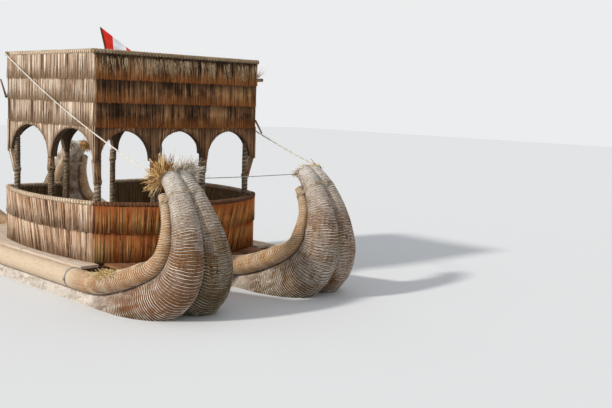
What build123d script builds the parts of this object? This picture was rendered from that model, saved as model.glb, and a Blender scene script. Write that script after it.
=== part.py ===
from build123d import *
import math
import os

os.makedirs("parts", exist_ok=True)

# Twin-hull reed boat with an arched cabin of reed mats and an open upper deck.
# Millimetres. +X is the bow, +Y is port, +Z is up. Z = 0 is the lowest line of
# the hull bundles, X = 0 is the middle of the hulls, Y = 0 is the centre plane.

SEAT = 0.3             # clearance where a round piece rests on another

# Plan of the cabin, which sets the width of the whole boat
CAB_X = 500            # cabin centre
CAB_L = 2686           # outside length
CAB_W = 2928           # outside width
HX = CAB_L / 2
HY = CAB_W / 2

# Hull bundles: two big bundles side by side make one hull.
HULL_IN = 264          # the hull's centre plane stands this far inside the cabin's side
HULL_Y = HY - HULL_IN
HALF_STRAIGHT = 2184   # the hulls run straight as far as this, fore and aft
BUNDLE_R = 400         # bundle radius amidships
PRESSED_RATIO = 0.8    # bundle centre stands 0.8 radius off the hull's centre plane
BUNDLE_Z = 400         # height of the bundle centres amidships
UPSWEEP_R = (2500, 600, 1250)   # arcs of the upsweep, in order towards the tip
UPSWEEP_DEG = (36, 60, 50)      # how far each arc turns
SECTION_COUNT = (3, 5, 5)       # straight-sided lengths in each arc
# distance along the upsweep, inner bundle, outer bundle and gunwale roll radius
TAPER = (
    (0, BUNDLE_R, BUNDLE_R, 140),
    (450, 398, 394, 138),
    (900, 390, 380, 131),
    (1340, 363, 333, 124),
    (1700, 326, 282, 119),
    (2000, 281, 240, 112),
    (2320, 231, 198, 94),
    (2650, 172, 166, 70),
    (3290, 112, 112, 50),
)
INNER_ROLL_GAP = 4     # the inner rolls start this far past the ends of the deck
ROLL_OUT = 0.6         # sideways share of the direction from bundle to roll
ROLL_UP = 0.8          # upward share of the same direction

# Deck
DECK_Z = 980
BOARD_T = 40
CREST = BUNDLE_Z + BUNDLE_R + SEAT
BEAMS = ((2310, 818), (1900, CREST), (1200, CREST), (500, CREST), (-200, CREST),
         (-900, CREST), (-1600, CREST), (-2310, 818))   # place and underside
BEAM_W = 110
BEAM_HALF = HULL_Y + 495
BOARD_GAP = 6          # between neighbouring boards
DECK_END = 2393        # end of the deck, fore and aft
BOARD_END_GAP = 1      # between the cabin's deck and the decks fore and aft
FRONT_DECK_HALF = HULL_Y + 150
AFT_DECK_HALF = HULL_Y + 490
CABIN_BOARDS = 13
FRONT_BOARDS = 12
AFT_BOARDS = 15
SIDE_PLANK_W = 282
SIDE_PLANK_GAP = 3     # between the cabin and a side plank
SIDE_PLANK_PAST = 121  # how far the side planks run past the cabin's front

# Cabin
WALL_TOP = 3912
WALL_FOOT = 2400       # foot of the fan-shaped piers between the arches
TIERS = (WALL_TOP - 338, WALL_TOP - 664, WALL_TOP - 1012)   # lower edges of three rows
STEP = 8               # each row stands this much prouder than the one below
WALL_T = 60
BAND_T = 60            # inner band behind the arches
BAND_TOP = 2940
ARCH_Z = 2410
ARCH_R = 430
BAY = 945
SIDE_ARCH = (600, 450)
SIDE_BAY = 650
ARCH_FOOT = 60         # the arches run straight down this far below their centres
ARCH_CUT = 400         # depth of the cut that opens them
POST_R = 48
POST_IN = 50
POST_Y = 445
POST_GAP = 1           # between the corner posts and the walls
POST_SHORT = 40        # the corner posts stop this far below the wall top
BAND_END_GAP = 10      # between the inner bands and the corner posts

# Lower walls
RIM_Z = 1790
TIER_Z = 1410
LOW_T = 38
ROW_STEP = 12          # the upper row stands this much prouder than the lower
ROW_GAP = 1
FRONT_BULGE = (470, 700)   # at the deck and at the rim
SIDE_BULGE = (140, 250)
RIM_R = 35
RIM_END = 20           # the rims' line starts this far inside the wall's ends
RIM_PAST = 50          # the front rim reaches this far past the cabin's sides
RIM_CLEAR = 2          # between the rear rims and the wall's inner face

# Upper deck
JOIST = (70, 80)
JOIST_COUNT = 5
JOIST_END_GAP = 71     # between the end joists and the corner posts
JOIST_GAP = 4          # between the joists' ends and the walls
UPPER_T = 30
UPPER_POST_GAP = 6     # between the upper floor and the corner posts
HATCH_W = 800
RAIL_R = 34
RAIL_PROUD = 8         # the rail stands this much prouder than the walls
RAIL_PAST = 36         # the end rails run this far past the cabin's sides

# Flag pole, stepped on the aftmost joist and leaning on the aft top rail
POLE_R = 14
POLE_FOOT_Y = 460
POLE_TOP = 4500
POLE_SLANT = 0.15      # sideways lean, as a share of the height
POLE_HOLE = 70         # square hole in the upper floor
FLAG_FLY = 660
FLAG_HOIST = 400
FLAG_T = 6
FLAG_TOP_GAP = 10      # between the top of the pole and the flag's corner
FLAG_DROOP = 36        # degrees that the fly hangs below level
FLAG_TURN = 46         # degrees that the fly points to port of the bow


def save(solid, name):
    solid.label = name
    export_step(solid, "parts/" + name + ".step")


def spine(d):
    """Point and heading of the hull's centre line, d along the upsweep."""
    x, z, a = HALF_STRAIGHT, BUNDLE_Z, 0.0
    for radius, degrees in zip(UPSWEEP_R, UPSWEEP_DEG):
        turn = math.radians(degrees)
        length = radius * turn
        part = min(d, length) / radius
        x += radius * (math.sin(a + part) - math.sin(a))
        z += radius * (math.cos(a) - math.cos(a + part))
        a += part
        d -= min(d, length)
        if d <= 0:
            break
    return x, z, a


def station_plane(x, z, a, y, side):
    return Plane(origin=(x, y, z), x_dir=(0, side, 0),
                 z_dir=(math.cos(a), 0, math.sin(a)))


def radii(d, side):
    """Bundle and roll radius, d along the upsweep: side 1 outer, -1 inner."""
    column = 2 if side > 0 else 1
    for low, high in zip(TAPER, TAPER[1:]):
        if d <= high[0]:
            t = (d - low[0]) / (high[0] - low[0])
            return (low[column] + t * (high[column] - low[column]),
                    low[3] + t * (high[3] - low[3]))
    return TAPER[-1][column], TAPER[-1][3]


STATIONS = [0.0]
for arc_r, arc_a, n in zip(UPSWEEP_R, UPSWEEP_DEG, SECTION_COUNT):
    base = STATIONS[-1]
    STATIONS += [base + arc_r * math.radians(arc_a) * (i + 1) / n for i in range(n)]
TIP_D = STATIONS[-1]


def bundle_outline(r):
    h = r * math.sqrt(1 - PRESSED_RATIO ** 2)
    with BuildLine() as outline:
        ThreePointArc((0, -h), (r * (1 + PRESSED_RATIO), 0), (0, h))
        Line((0, h), (0, -h))
    return outline.edges()


def bundle(side):
    """One bundle of the port hull: side 1 is its outer one, -1 its inner one."""
    y = HULL_Y + SEAT / 2 * side
    with BuildPart() as end:
        for d in STATIONS:
            with BuildSketch(station_plane(*spine(d), y, side)):
                make_face(bundle_outline(radii(d, side)[0]))
        loft(ruled=True)
    with BuildPart() as body:
        with BuildSketch(station_plane(-HALF_STRAIGHT, BUNDLE_Z, 0, y, side)):
            make_face(bundle_outline(BUNDLE_R))
        extrude(amount=2 * HALF_STRAIGHT)
        add(end.part)
        add(end.part.mirror(Plane.YZ))
    return body.part


def roll_outline(d, side):
    """Circle beside the bundle, above and outboard of it, as two half arcs."""
    r, rr = radii(d, side)
    reach = r + rr + SEAT
    out, up = PRESSED_RATIO * r + reach * ROLL_OUT, reach * ROLL_UP * side
    with BuildLine() as outline:
        ThreePointArc((out - rr, up), (out, up + rr), (out + rr, up))
        ThreePointArc((out + rr, up), (out, up - rr), (out - rr, up))
    return outline.edges()


def roll_end(side):
    """The rolls stop one section short of the bundles."""
    with BuildPart() as end:
        for d in STATIONS[:-1]:
            with BuildSketch(station_plane(*spine(d), HULL_Y, side)):
                make_face(roll_outline(d, side))
        loft(ruled=True)
    return end.part


def outer_roll():
    end = roll_end(1)
    with BuildPart() as body:
        with BuildSketch(station_plane(-HALF_STRAIGHT, BUNDLE_Z, 0, HULL_Y, 1)):
            make_face(roll_outline(0, 1))
        extrude(amount=2 * HALF_STRAIGHT)
        add(end)
        add(end.mirror(Plane.YZ))
    return body.part


# Hulls
outer_bundle = bundle(1)
inner_bundle = bundle(-1)
with BuildPart() as hull_port_outer:
    add(outer_bundle)
with BuildPart() as hull_port_inner:
    add(inner_bundle)
with BuildPart() as hull_starboard_outer:
    add(outer_bundle.mirror(Plane.XZ))
with BuildPart() as hull_starboard_inner:
    add(inner_bundle.mirror(Plane.XZ))

# Gunwale rolls: the outer ones run the whole length, the inner ones only
# from the ends of the deck to the tips.
long_roll = outer_roll()
with BuildPart() as roll_port_outer:
    add(long_roll)
with BuildPart() as roll_starboard_outer:
    add(long_roll.mirror(Plane.XZ))
with BuildPart() as short_end:
    add(roll_end(-1))
    with Locations((DECK_END + INNER_ROLL_GAP, HULL_Y, BUNDLE_Z)):
        Box(DECK_END, 6 * BUNDLE_R, 6 * BUNDLE_R,
            align=(Align.MAX, Align.CENTER, Align.CENTER), mode=Mode.SUBTRACT)
short_roll = short_end.part
with BuildPart() as rolls_inner_fore:
    add(short_roll)
    add(short_roll.mirror(Plane.XZ))
with BuildPart() as rolls_inner_aft:
    add(short_roll.mirror(Plane.YZ))
    add(short_roll.mirror(Plane.YZ).mirror(Plane.XZ))

# Cross beams lie on the crests of the four bundles.
with BuildPart() as cross_beams:
    for x, bottom in BEAMS:
        with Locations((x, 0, bottom)):
            Box(BEAM_W, 2 * BEAM_HALF, DECK_Z - BOARD_T - bottom,
                align=(Align.CENTER, Align.CENTER, Align.MIN))


def boards(x0, x1, half, count):
    pitch = 2 * half / count
    with BuildPart() as deck:
        for i in range(count):
            with Locations((x0, -half + (i + 0.5) * pitch, DECK_Z - BOARD_T)):
                Box(x1 - x0, pitch - BOARD_GAP, BOARD_T,
                    align=(Align.MIN, Align.CENTER, Align.MIN))
    return deck.part


with BuildPart() as deck_cabin:
    add(boards(CAB_X - HX + BOARD_END_GAP, CAB_X + HX - BOARD_END_GAP,
               HY - SIDE_PLANK_GAP, CABIN_BOARDS))
with BuildPart() as deck_front:
    add(boards(CAB_X + HX + BOARD_END_GAP, DECK_END, FRONT_DECK_HALF, FRONT_BOARDS))
with BuildPart() as deck_aft:
    add(boards(-DECK_END, CAB_X - HX - BOARD_END_GAP, AFT_DECK_HALF, AFT_BOARDS))


def side_plank(side):
    y = HY + SIDE_PLANK_GAP + SIDE_PLANK_W / 2
    with BuildPart() as plank:
        with Locations((CAB_X - HX + BOARD_END_GAP, side * y, DECK_Z - BOARD_T)):
            Box(CAB_L - BOARD_END_GAP + SIDE_PLANK_PAST, SIDE_PLANK_W, BOARD_T,
                align=(Align.MIN, Align.CENTER, Align.MIN))
    return plank.part


with BuildPart() as side_plank_port:
    add(side_plank(1))
with BuildPart() as side_plank_starboard:
    add(side_plank(-1))


# Lower walls: mats in two rows, bowed outwards and leaning out to the rim.
def crescent(half_chord, bulge, thick, z, plane_of):
    """Face between two concentric arcs, from a straight chord line outwards."""
    radius = (half_chord ** 2 + bulge ** 2) / (2 * bulge)
    centre = bulge - radius
    inner = radius - thick
    end = math.sqrt(inner ** 2 - centre ** 2)
    with BuildSketch(plane_of(z)) as face:
        with BuildLine():
            ThreePointArc((-half_chord, 0), (0, bulge), (half_chord, 0))
            Line((half_chord, 0), (end, 0))
            ThreePointArc((end, 0), (0, bulge - thick), (-end, 0))
            Line((-end, 0), (-half_chord, 0))
        make_face()
    return face.sketch


def bowed_wall(half_chord, bulges, plane_of):
    low, high = bulges
    z0, z1, z2 = DECK_Z, TIER_Z, RIM_Z
    mid = low + (high - low) * (z1 - z0) / (z2 - z0)
    with BuildPart() as wall:
        loft([crescent(half_chord, low, LOW_T, z0, plane_of),
              crescent(half_chord, mid, LOW_T, z1 - ROW_GAP, plane_of)], ruled=True)
    with BuildPart() as upper_row:
        loft([crescent(half_chord, mid + ROW_STEP, LOW_T + ROW_STEP, z1, plane_of),
              crescent(half_chord, high + ROW_STEP, LOW_T + ROW_STEP, z2, plane_of)],
             ruled=True)
    return Compound([wall.part.solid(), upper_row.part.solid()])


def front_plane(z):
    return Plane(origin=(CAB_X + HX, 0, z), x_dir=(0, -1, 0), z_dir=(0, 0, 1))


def port_plane(z):
    return Plane(origin=(CAB_X, HY, z), x_dir=(1, 0, 0), z_dir=(0, 0, 1))


front_low = bowed_wall(HY, FRONT_BULGE, front_plane)
port_low = bowed_wall(HX, SIDE_BULGE, port_plane)
with BuildPart() as lower_wall_front:
    add(front_low)
with BuildPart() as lower_wall_port:
    add(port_low)
with BuildPart() as lower_wall_starboard:
    add(port_low.mirror(Plane.XZ))


def rear_panel(side):
    x = CAB_X - HX
    y0, y1 = POST_Y + POST_R, HY
    with BuildPart() as panel:
        with Locations((x, side * (y0 + y1) / 2, DECK_Z)):
            Box(LOW_T, y1 - y0, TIER_Z - DECK_Z, align=(Align.MAX, Align.CENTER, Align.MIN))
        with Locations((x, side * (y0 + y1) / 2, TIER_Z)):
            Box(LOW_T + ROW_STEP, y1 - y0, RIM_Z - TIER_Z,
                align=(Align.MAX, Align.CENTER, Align.MIN))
    return panel.part


with BuildPart() as lower_wall_rear_port:
    add(rear_panel(1))
with BuildPart() as lower_wall_rear_starboard:
    add(rear_panel(-1))


# Rims: a thin roll of reed along the top of each lower wall.
def bowed_rim(half_chord, bulge, plane_of, limit):
    mid = bulge + ROW_STEP - (LOW_T + ROW_STEP) / 2
    plane = plane_of(RIM_Z + RIM_R + SEAT)
    with BuildPart() as rim:
        with BuildLine(plane) as path:
            ThreePointArc((-half_chord + RIM_END, 0), (0, mid), (half_chord - RIM_END, 0))
        with BuildSketch(Plane(origin=path.line @ 0, z_dir=path.line % 0)):
            Circle(RIM_R)
        sweep(path=path.line)
        with Locations(plane.location):
            Box(2 * limit, 2 * bulge, 4 * RIM_R, align=(Align.CENTER, Align.MIN, Align.CENTER),
                mode=Mode.INTERSECT)
    return rim.part


with BuildPart() as rim_front:
    add(bowed_rim(HY, FRONT_BULGE[1], front_plane, HY + RIM_PAST))
port_rim = bowed_rim(HX, SIDE_BULGE[1], port_plane, HX - BOARD_END_GAP)
with BuildPart() as rims_side:
    add(port_rim)
    add(port_rim.mirror(Plane.XZ))
with BuildPart() as rims_rear:
    for side in (1, -1):
        y0, y1 = POST_Y + POST_R, HY
        with Locations(Location((CAB_X - HX - RIM_R - RIM_CLEAR, side * (y0 + y1) / 2,
                                 RIM_Z + RIM_R + SEAT), (90, 0, 0))):
            Cylinder(RIM_R, y1 - y0)


# Posts
def posts(spots, top):
    with BuildPart() as group:
        for x, y in spots:
            with Locations((CAB_X + x, y, DECK_Z)):
                Cylinder(POST_R, top - DECK_Z, align=(Align.CENTER, Align.CENTER, Align.MIN))
    return group.part


CORNER_X = HX - WALL_T - POST_R - POST_GAP
CORNER_Y = HY - WALL_T - POST_R - POST_GAP
PX = HX - POST_IN
PY = HY - POST_IN
with BuildPart() as posts_corner:
    add(posts([(sx * CORNER_X, sy * CORNER_Y) for sx in (1, -1) for sy in (1, -1)],
              WALL_TOP - POST_SHORT))
with BuildPart() as posts_front:
    add(posts([(PX, POST_Y), (PX, -POST_Y)], WALL_FOOT))
with BuildPart() as posts_rear:
    add(posts([(-PX, POST_Y), (-PX, -POST_Y)], WALL_FOOT))
with BuildPart() as posts_side:
    add(posts([(0, PY), (0, -PY)], WALL_FOOT))


# Upper walls: four rows of mats, each prouder than the one below, cut by arches.
def stepped_profile():
    t1, t2, t3 = TIERS
    w = WALL_T
    s = STEP
    with BuildLine() as outline:
        Polyline((0, WALL_FOOT), (w - 3 * s, WALL_FOOT), (w - 3 * s, t3), (w - 2 * s, t3),
                 (w - 2 * s, t2), (w - s, t2), (w - s, t1), (w, t1), (w, WALL_TOP),
                 (0, WALL_TOP), close=True)
    return outline.edges()


def front_arches():
    """Round openings of the three bays, cut through along X."""
    with BuildPart() as cut:
        with BuildSketch(Plane(origin=(HX - ARCH_CUT / 2, 0, 0), x_dir=(0, 1, 0),
                               z_dir=(1, 0, 0))):
            for y in (-BAY, 0, BAY):
                with Locations((y, ARCH_Z)):
                    Circle(ARCH_R)
                with Locations((y, ARCH_Z)):
                    Rectangle(2 * ARCH_R, ARCH_FOOT, align=(Align.CENTER, Align.MAX))
        extrude(amount=ARCH_CUT)
    return cut.part


def side_arches():
    """Wide openings of the two bays, cut through along Y."""
    with BuildPart() as cut:
        with BuildSketch(Plane(origin=(0, HY - ARCH_CUT / 2, 0), x_dir=(-1, 0, 0),
                               z_dir=(0, 1, 0))):
            for x in (-SIDE_BAY, SIDE_BAY):
                with Locations((x, ARCH_Z)):
                    Ellipse(*SIDE_ARCH)
                with Locations((x, ARCH_Z)):
                    Rectangle(2 * SIDE_ARCH[0], ARCH_FOOT, align=(Align.CENTER, Align.MAX))
        extrude(amount=ARCH_CUT)
    return cut.part


with BuildPart() as front_wall:
    with BuildSketch(Plane(origin=(HX - WALL_T, HY, 0), x_dir=(1, 0, 0), z_dir=(0, -1, 0))):
        make_face(stepped_profile())
    extrude(amount=CAB_W)
    add(front_arches(), mode=Mode.SUBTRACT)
with BuildPart() as port_wall:
    with BuildSketch(Plane(origin=(-HX + WALL_T, HY - WALL_T, 0), x_dir=(0, 1, 0),
                           z_dir=(1, 0, 0))):
        make_face(stepped_profile())
    extrude(amount=CAB_L - 2 * WALL_T)
    add(side_arches(), mode=Mode.SUBTRACT)

here = Location((CAB_X, 0, 0))
with BuildPart() as upper_wall_front:
    add(front_wall.part.moved(here))
with BuildPart() as upper_wall_rear:
    add(front_wall.part.mirror(Plane.YZ).moved(here))
with BuildPart() as upper_wall_port:
    add(port_wall.part.moved(here))
with BuildPart() as upper_wall_starboard:
    add(port_wall.part.mirror(Plane.XZ).moved(here))

# Inner bands thicken the arches and carry the upper deck.
with BuildPart() as front_band:
    with Locations((HX - WALL_T, 0, WALL_FOOT)):
        Box(BAND_T, 2 * (CORNER_Y - POST_R - BAND_END_GAP), BAND_TOP - WALL_FOOT,
            align=(Align.MAX, Align.CENTER, Align.MIN))
    add(front_arches(), mode=Mode.SUBTRACT)
with BuildPart() as port_band:
    with Locations((0, HY - WALL_T, WALL_FOOT)):
        Box(2 * (CORNER_X - POST_R - BAND_END_GAP), BAND_T, BAND_TOP - WALL_FOOT,
            align=(Align.CENTER, Align.MAX, Align.MIN))
    add(side_arches(), mode=Mode.SUBTRACT)
with BuildPart() as arch_bands_ends:
    add(front_band.part.moved(here))
    add(front_band.part.mirror(Plane.YZ).moved(here))
with BuildPart() as arch_bands_sides:
    add(port_band.part.moved(here))
    add(port_band.part.mirror(Plane.XZ).moved(here))

# Top rail: a roll of reed along the top of the four walls.
RAIL_Z = WALL_TOP + RAIL_R + SEAT
RAIL_X = HX - RAIL_R + RAIL_PROUD
RAIL_Y = HY - RAIL_R + RAIL_PROUD
RAIL_HALF = HY + RAIL_PAST
with BuildPart() as top_rail:
    for side in (1, -1):
        with Locations(Location((CAB_X + side * RAIL_X, 0, RAIL_Z), (90, 0, 0))):
            Cylinder(RAIL_R, 2 * RAIL_HALF)
        with Locations(Location((CAB_X, side * RAIL_Y, RAIL_Z), (0, 90, 0))):
            Cylinder(RAIL_R, 2 * (RAIL_X - RAIL_R - SEAT))

# Upper deck: joists on the inner bands, then boards, with a hatch aft.
FLOOR_Z = BAND_TOP + JOIST[1]
JOIST_END = CORNER_X - POST_R - JOIST_END_GAP - JOIST[0] / 2
JOIST_PITCH = 2 * JOIST_END / (JOIST_COUNT - 1)
with BuildPart() as upper_joists:
    for i in range(JOIST_COUNT):
        x = i * JOIST_PITCH - JOIST_END
        with Locations((CAB_X + x, 0, BAND_TOP)):
            Box(JOIST[0], 2 * (HY - WALL_T - JOIST_GAP), JOIST[1],
                align=(Align.CENTER, Align.CENTER, Align.MIN))
with BuildPart() as upper_floor:
    with Locations((CAB_X, 0, FLOOR_Z)):
        Box(2 * (CORNER_X - POST_R - UPPER_POST_GAP), 2 * (HY - WALL_T - JOIST_GAP), UPPER_T,
            align=(Align.CENTER, Align.CENTER, Align.MIN))
        Box(2 * (HX - WALL_T - JOIST_GAP), 2 * (CORNER_Y - POST_R - UPPER_POST_GAP), UPPER_T,
            align=(Align.CENTER, Align.CENTER, Align.MIN))
    with Locations((CAB_X - JOIST_END + JOIST_PITCH / 2, 0, FLOOR_Z)):
        Box(JOIST_PITCH - JOIST[0], HATCH_W, UPPER_T,
            align=(Align.CENTER, Align.CENTER, Align.MIN), mode=Mode.SUBTRACT)
    with Locations((CAB_X - JOIST_END, POLE_FOOT_Y, FLOOR_Z)):
        Box(POLE_HOLE, POLE_HOLE, UPPER_T, align=(Align.CENTER, Align.CENTER, Align.MIN),
            mode=Mode.SUBTRACT)

# Ends of the hulls: a lashing round the bundles and rolls, and a brush of cut reed
# at the end of each bundle.
LASH_D = 2930
LASH_W = 60
LASH_T = 12
LASH_CLEAR = 8.5
BRUSH_OUTER = ((0, 110), (130, 140), (260, 150))   # place past the tip and radius
BRUSH_INNER = ((0, 105), (90, 118), (180, 120))
BRUSH_BEND_R = 420     # the brushes curl on over the tip


def lash_outline(r, rr, out, up, grow):
    """Straight sides and bevelled corners that clear the bundles and rolls."""
    w = out + rr + grow
    top = up + rr + grow
    low = -r - grow
    cut = 0.55 * r
    with BuildLine() as outline:
        Polyline((-w, low + cut), (-w + cut, low), (w - cut, low), (w, low + cut),
                 (w, top - cut * 0.5), (w - cut * 0.5, top), (-w + cut * 0.5, top),
                 (-w, top - cut * 0.5), close=True)
    return outline.edges()


def lashing():
    """Band round two bundles and two rolls near the tip of the port hull."""
    x, z, a = spine(LASH_D)
    r, rr = radii(LASH_D, 1)
    reach = r + rr + SEAT
    out, up = PRESSED_RATIO * r + reach * ROLL_OUT, reach * ROLL_UP
    with BuildPart() as band:
        with BuildSketch(station_plane(x, z, a, HULL_Y, 1)):
            for grow, mode in ((LASH_CLEAR + LASH_T, Mode.ADD),
                               (LASH_CLEAR, Mode.SUBTRACT)):
                make_face(lash_outline(r, rr, out, up, grow), mode=mode)
        extrude(amount=LASH_W / 2, both=True)
    return band.part


def brush(side, rows):
    """Frayed end of one bundle of the port hull, curling on past the tip."""
    x, z, a = spine(TIP_D)
    gap = (SEAT * math.cos(a), SEAT * math.sin(a))
    y = HULL_Y + side * rows[-1][1] + side * SEAT
    with BuildPart() as end:
        for d, r in rows:
            b = a + d / BRUSH_BEND_R
            bx = x + BRUSH_BEND_R * (math.sin(b) - math.sin(a)) + gap[0]
            bz = z + BRUSH_BEND_R * (math.cos(a) - math.cos(b)) + gap[1]
            with BuildSketch(station_plane(bx, bz, b, y, side)):
                Circle(r)
        loft(ruled=True)
    return end.part


port_lash = lashing()
with BuildPart() as both_brushes:
    add(brush(1, BRUSH_OUTER))
    add(brush(-1, BRUSH_INNER))
port_brush = both_brushes.part
with BuildPart() as prow_lashings:
    add(port_lash)
    add(port_lash.mirror(Plane.XZ))
with BuildPart() as stern_lashings:
    add(port_lash.mirror(Plane.YZ))
    add(port_lash.mirror(Plane.YZ).mirror(Plane.XZ))
with BuildPart() as prow_brushes:
    add(port_brush)
    add(port_brush.mirror(Plane.XZ))
with BuildPart() as stern_brushes:
    add(port_brush.mirror(Plane.YZ))
    add(port_brush.mirror(Plane.YZ).mirror(Plane.XZ))

# Stays from the aft top corners of the cabin down to the prow brushes.
STAY_R = 8
STAY_SAG = 100
STAY_END_D = 150       # how far past the tip a stay is tied
tip_x, tip_z, tip_a = spine(TIP_D)
stay_a = tip_a + STAY_END_D / BRUSH_BEND_R
STAY_FROM = Vector(CAB_X - RAIL_X, RAIL_HALF + STAY_R + SEAT, RAIL_Z)
STAY_TO = Vector(tip_x + BRUSH_BEND_R * (math.sin(stay_a) - math.sin(tip_a)),
                 HULL_Y + 2 * BRUSH_OUTER[-1][1] + STAY_R + 2 * SEAT,
                 tip_z + BRUSH_BEND_R * (math.cos(tip_a) - math.cos(stay_a)))


def stay():
    middle = (STAY_FROM + STAY_TO) / 2 - Vector(0, 0, STAY_SAG)
    with BuildPart() as rope:
        with BuildLine() as line:
            ThreePointArc(STAY_FROM, middle, STAY_TO)
        with BuildSketch(Plane(origin=line.line @ 0, z_dir=line.line % 0)):
            Circle(STAY_R)
        sweep(path=line.line)
    return rope.part


port_stay = stay()
with BuildPart() as stay_port:
    add(port_stay)
with BuildPart() as stay_starboard:
    add(port_stay.mirror(Plane.XZ))

# Flag on its pole inside the aft parapet.
RAIL_BACK = RAIL_X - JOIST_END          # from the pole's foot aft to the rail
RAIL_RISE = RAIL_Z - FLOOR_Z
POLE_LEAN = math.atan2(RAIL_BACK, RAIL_RISE) - math.asin(
    (RAIL_R + POLE_R + SEAT) / math.hypot(RAIL_BACK, RAIL_RISE))
POLE_DIR = Vector(-math.tan(POLE_LEAN), -POLE_SLANT, 1).normalized()
POLE_FOOT = Vector(CAB_X - JOIST_END, POLE_FOOT_Y, FLOOR_Z) + POLE_DIR * (POLE_R * 0.3)
POLE_L = (POLE_TOP - POLE_FOOT.Z) / POLE_DIR.Z
with BuildPart() as flag_pole:
    with BuildSketch(Plane(origin=POLE_FOOT, z_dir=POLE_DIR)):
        Circle(POLE_R)
    extrude(amount=POLE_L)

droop, turn = math.radians(FLAG_DROOP), math.radians(FLAG_TURN)
FLY_DIR = Vector(math.cos(turn) * math.cos(droop), math.sin(turn) * math.cos(droop),
                 -math.sin(droop))
CLOTH = FLY_DIR.cross(POLE_DIR).normalized()
OFF_POLE = POLE_DIR.cross(CLOTH).normalized()
FLAG_CORNER = POLE_FOOT + POLE_DIR * (POLE_L - FLAG_TOP_GAP) + OFF_POLE * (POLE_R + SEAT)
cloth_plane = Plane(origin=FLAG_CORNER, x_dir=FLY_DIR, z_dir=CLOTH)
hoist = POLE_DIR * -FLAG_HOIST
hoist_x, hoist_y = hoist.dot(cloth_plane.x_dir), hoist.dot(cloth_plane.y_dir)
with BuildPart() as flag:
    with BuildSketch(cloth_plane):
        with BuildLine():
            Polyline((0, 0), (FLAG_FLY, 0), (FLAG_FLY + hoist_x, hoist_y),
                     (hoist_x, hoist_y), close=True)
        make_face()
    extrude(amount=FLAG_T / 2, both=True)

for name, body in (
    ("hull_port_outer", hull_port_outer), ("hull_port_inner", hull_port_inner),
    ("hull_starboard_outer", hull_starboard_outer),
    ("hull_starboard_inner", hull_starboard_inner),
    ("roll_port_outer", roll_port_outer), ("roll_starboard_outer", roll_starboard_outer),
    ("rolls_inner_fore", rolls_inner_fore), ("rolls_inner_aft", rolls_inner_aft),
    ("cross_beams", cross_beams), ("deck_cabin", deck_cabin), ("deck_front", deck_front),
    ("deck_aft", deck_aft), ("side_plank_port", side_plank_port),
    ("side_plank_starboard", side_plank_starboard),
    ("lower_wall_front", lower_wall_front), ("lower_wall_port", lower_wall_port),
    ("lower_wall_starboard", lower_wall_starboard),
    ("lower_wall_rear_port", lower_wall_rear_port),
    ("lower_wall_rear_starboard", lower_wall_rear_starboard),
    ("rim_front", rim_front), ("rims_side", rims_side), ("rims_rear", rims_rear),
    ("posts_corner", posts_corner), ("posts_front", posts_front),
    ("posts_rear", posts_rear), ("posts_side", posts_side),
    ("upper_wall_front", upper_wall_front), ("upper_wall_rear", upper_wall_rear),
    ("upper_wall_port", upper_wall_port), ("upper_wall_starboard", upper_wall_starboard),
    ("arch_bands_ends", arch_bands_ends), ("arch_bands_sides", arch_bands_sides),
    ("top_rail", top_rail), ("upper_joists", upper_joists), ("upper_floor", upper_floor),
    ("prow_lashings", prow_lashings), ("stern_lashings", stern_lashings),
    ("prow_brushes", prow_brushes), ("stern_brushes", stern_brushes),
    ("stay_port", stay_port), ("stay_starboard", stay_starboard),
    ("flag_pole", flag_pole), ("flag", flag),
):
    save(body.part, name)
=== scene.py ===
import math
import bmesh
import bpy
import numpy as np
from mathutils import Matrix, Vector, noise


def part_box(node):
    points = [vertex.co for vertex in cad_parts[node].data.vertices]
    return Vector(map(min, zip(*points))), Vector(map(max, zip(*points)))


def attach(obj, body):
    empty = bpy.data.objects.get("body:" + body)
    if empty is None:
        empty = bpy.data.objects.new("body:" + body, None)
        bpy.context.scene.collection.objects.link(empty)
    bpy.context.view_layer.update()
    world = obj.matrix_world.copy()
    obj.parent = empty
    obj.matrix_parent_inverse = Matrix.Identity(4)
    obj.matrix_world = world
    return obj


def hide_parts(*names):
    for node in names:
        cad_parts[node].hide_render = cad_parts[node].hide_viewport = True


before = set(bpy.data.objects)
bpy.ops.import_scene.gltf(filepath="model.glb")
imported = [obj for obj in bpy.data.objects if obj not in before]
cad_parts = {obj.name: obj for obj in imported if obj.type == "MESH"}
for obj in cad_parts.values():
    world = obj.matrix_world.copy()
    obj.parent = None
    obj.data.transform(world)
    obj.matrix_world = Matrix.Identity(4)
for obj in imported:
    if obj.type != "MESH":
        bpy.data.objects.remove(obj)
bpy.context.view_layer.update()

# ---- The view ----
# The boat lies afloat, so the pale floor stands at its waterline. One broad lamp
# over the starboard side and an even room light it, and the bow wall is in shade.
WATERLINE = 0.53
CAMERA_AT = (12.780, -7.928, 3.339)
CAMERA_TURN = (83.4516, -1.8940, 46.1511)   # degrees
LENS = 52.2
FILM_WIDTH = 36
FARTHEST = 300
SUN_FROM = (-0.16, -0.84, 0.52)
SUN_POWER = 2.9
SUN_WIDTH = 5                   # degrees
SUN_TINT = (1.0, 0.965, 0.91)
ROOM_LIGHT = 0.62
ROOM_TINT = (0.93, 0.96, 1.0, 1.0)
FLOOR_HALF = 60


def paint(red, green, blue):
    """A colour as a painter reads it off a chart, 0 to 255, for a shader."""
    share = [c / 255 for c in (red, green, blue)]
    return tuple(c / 12.92 if c <= 0.04045 else ((c + 0.055) / 1.055) ** 2.4
                 for c in share) + (1.0,)


def put(tree, kind, sockets=None, **settings):
    """Add a node, set it up, and feed its sockets with values or other sockets."""
    made = tree.nodes.new(kind)
    for name, value in settings.items():
        setattr(made, name, value)
    for name, value in (sockets or {}).items():
        if isinstance(value, bpy.types.NodeSocket):
            tree.links.new(value, made.inputs[name])
        else:
            made.inputs[name].default_value = value
    return made


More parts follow.
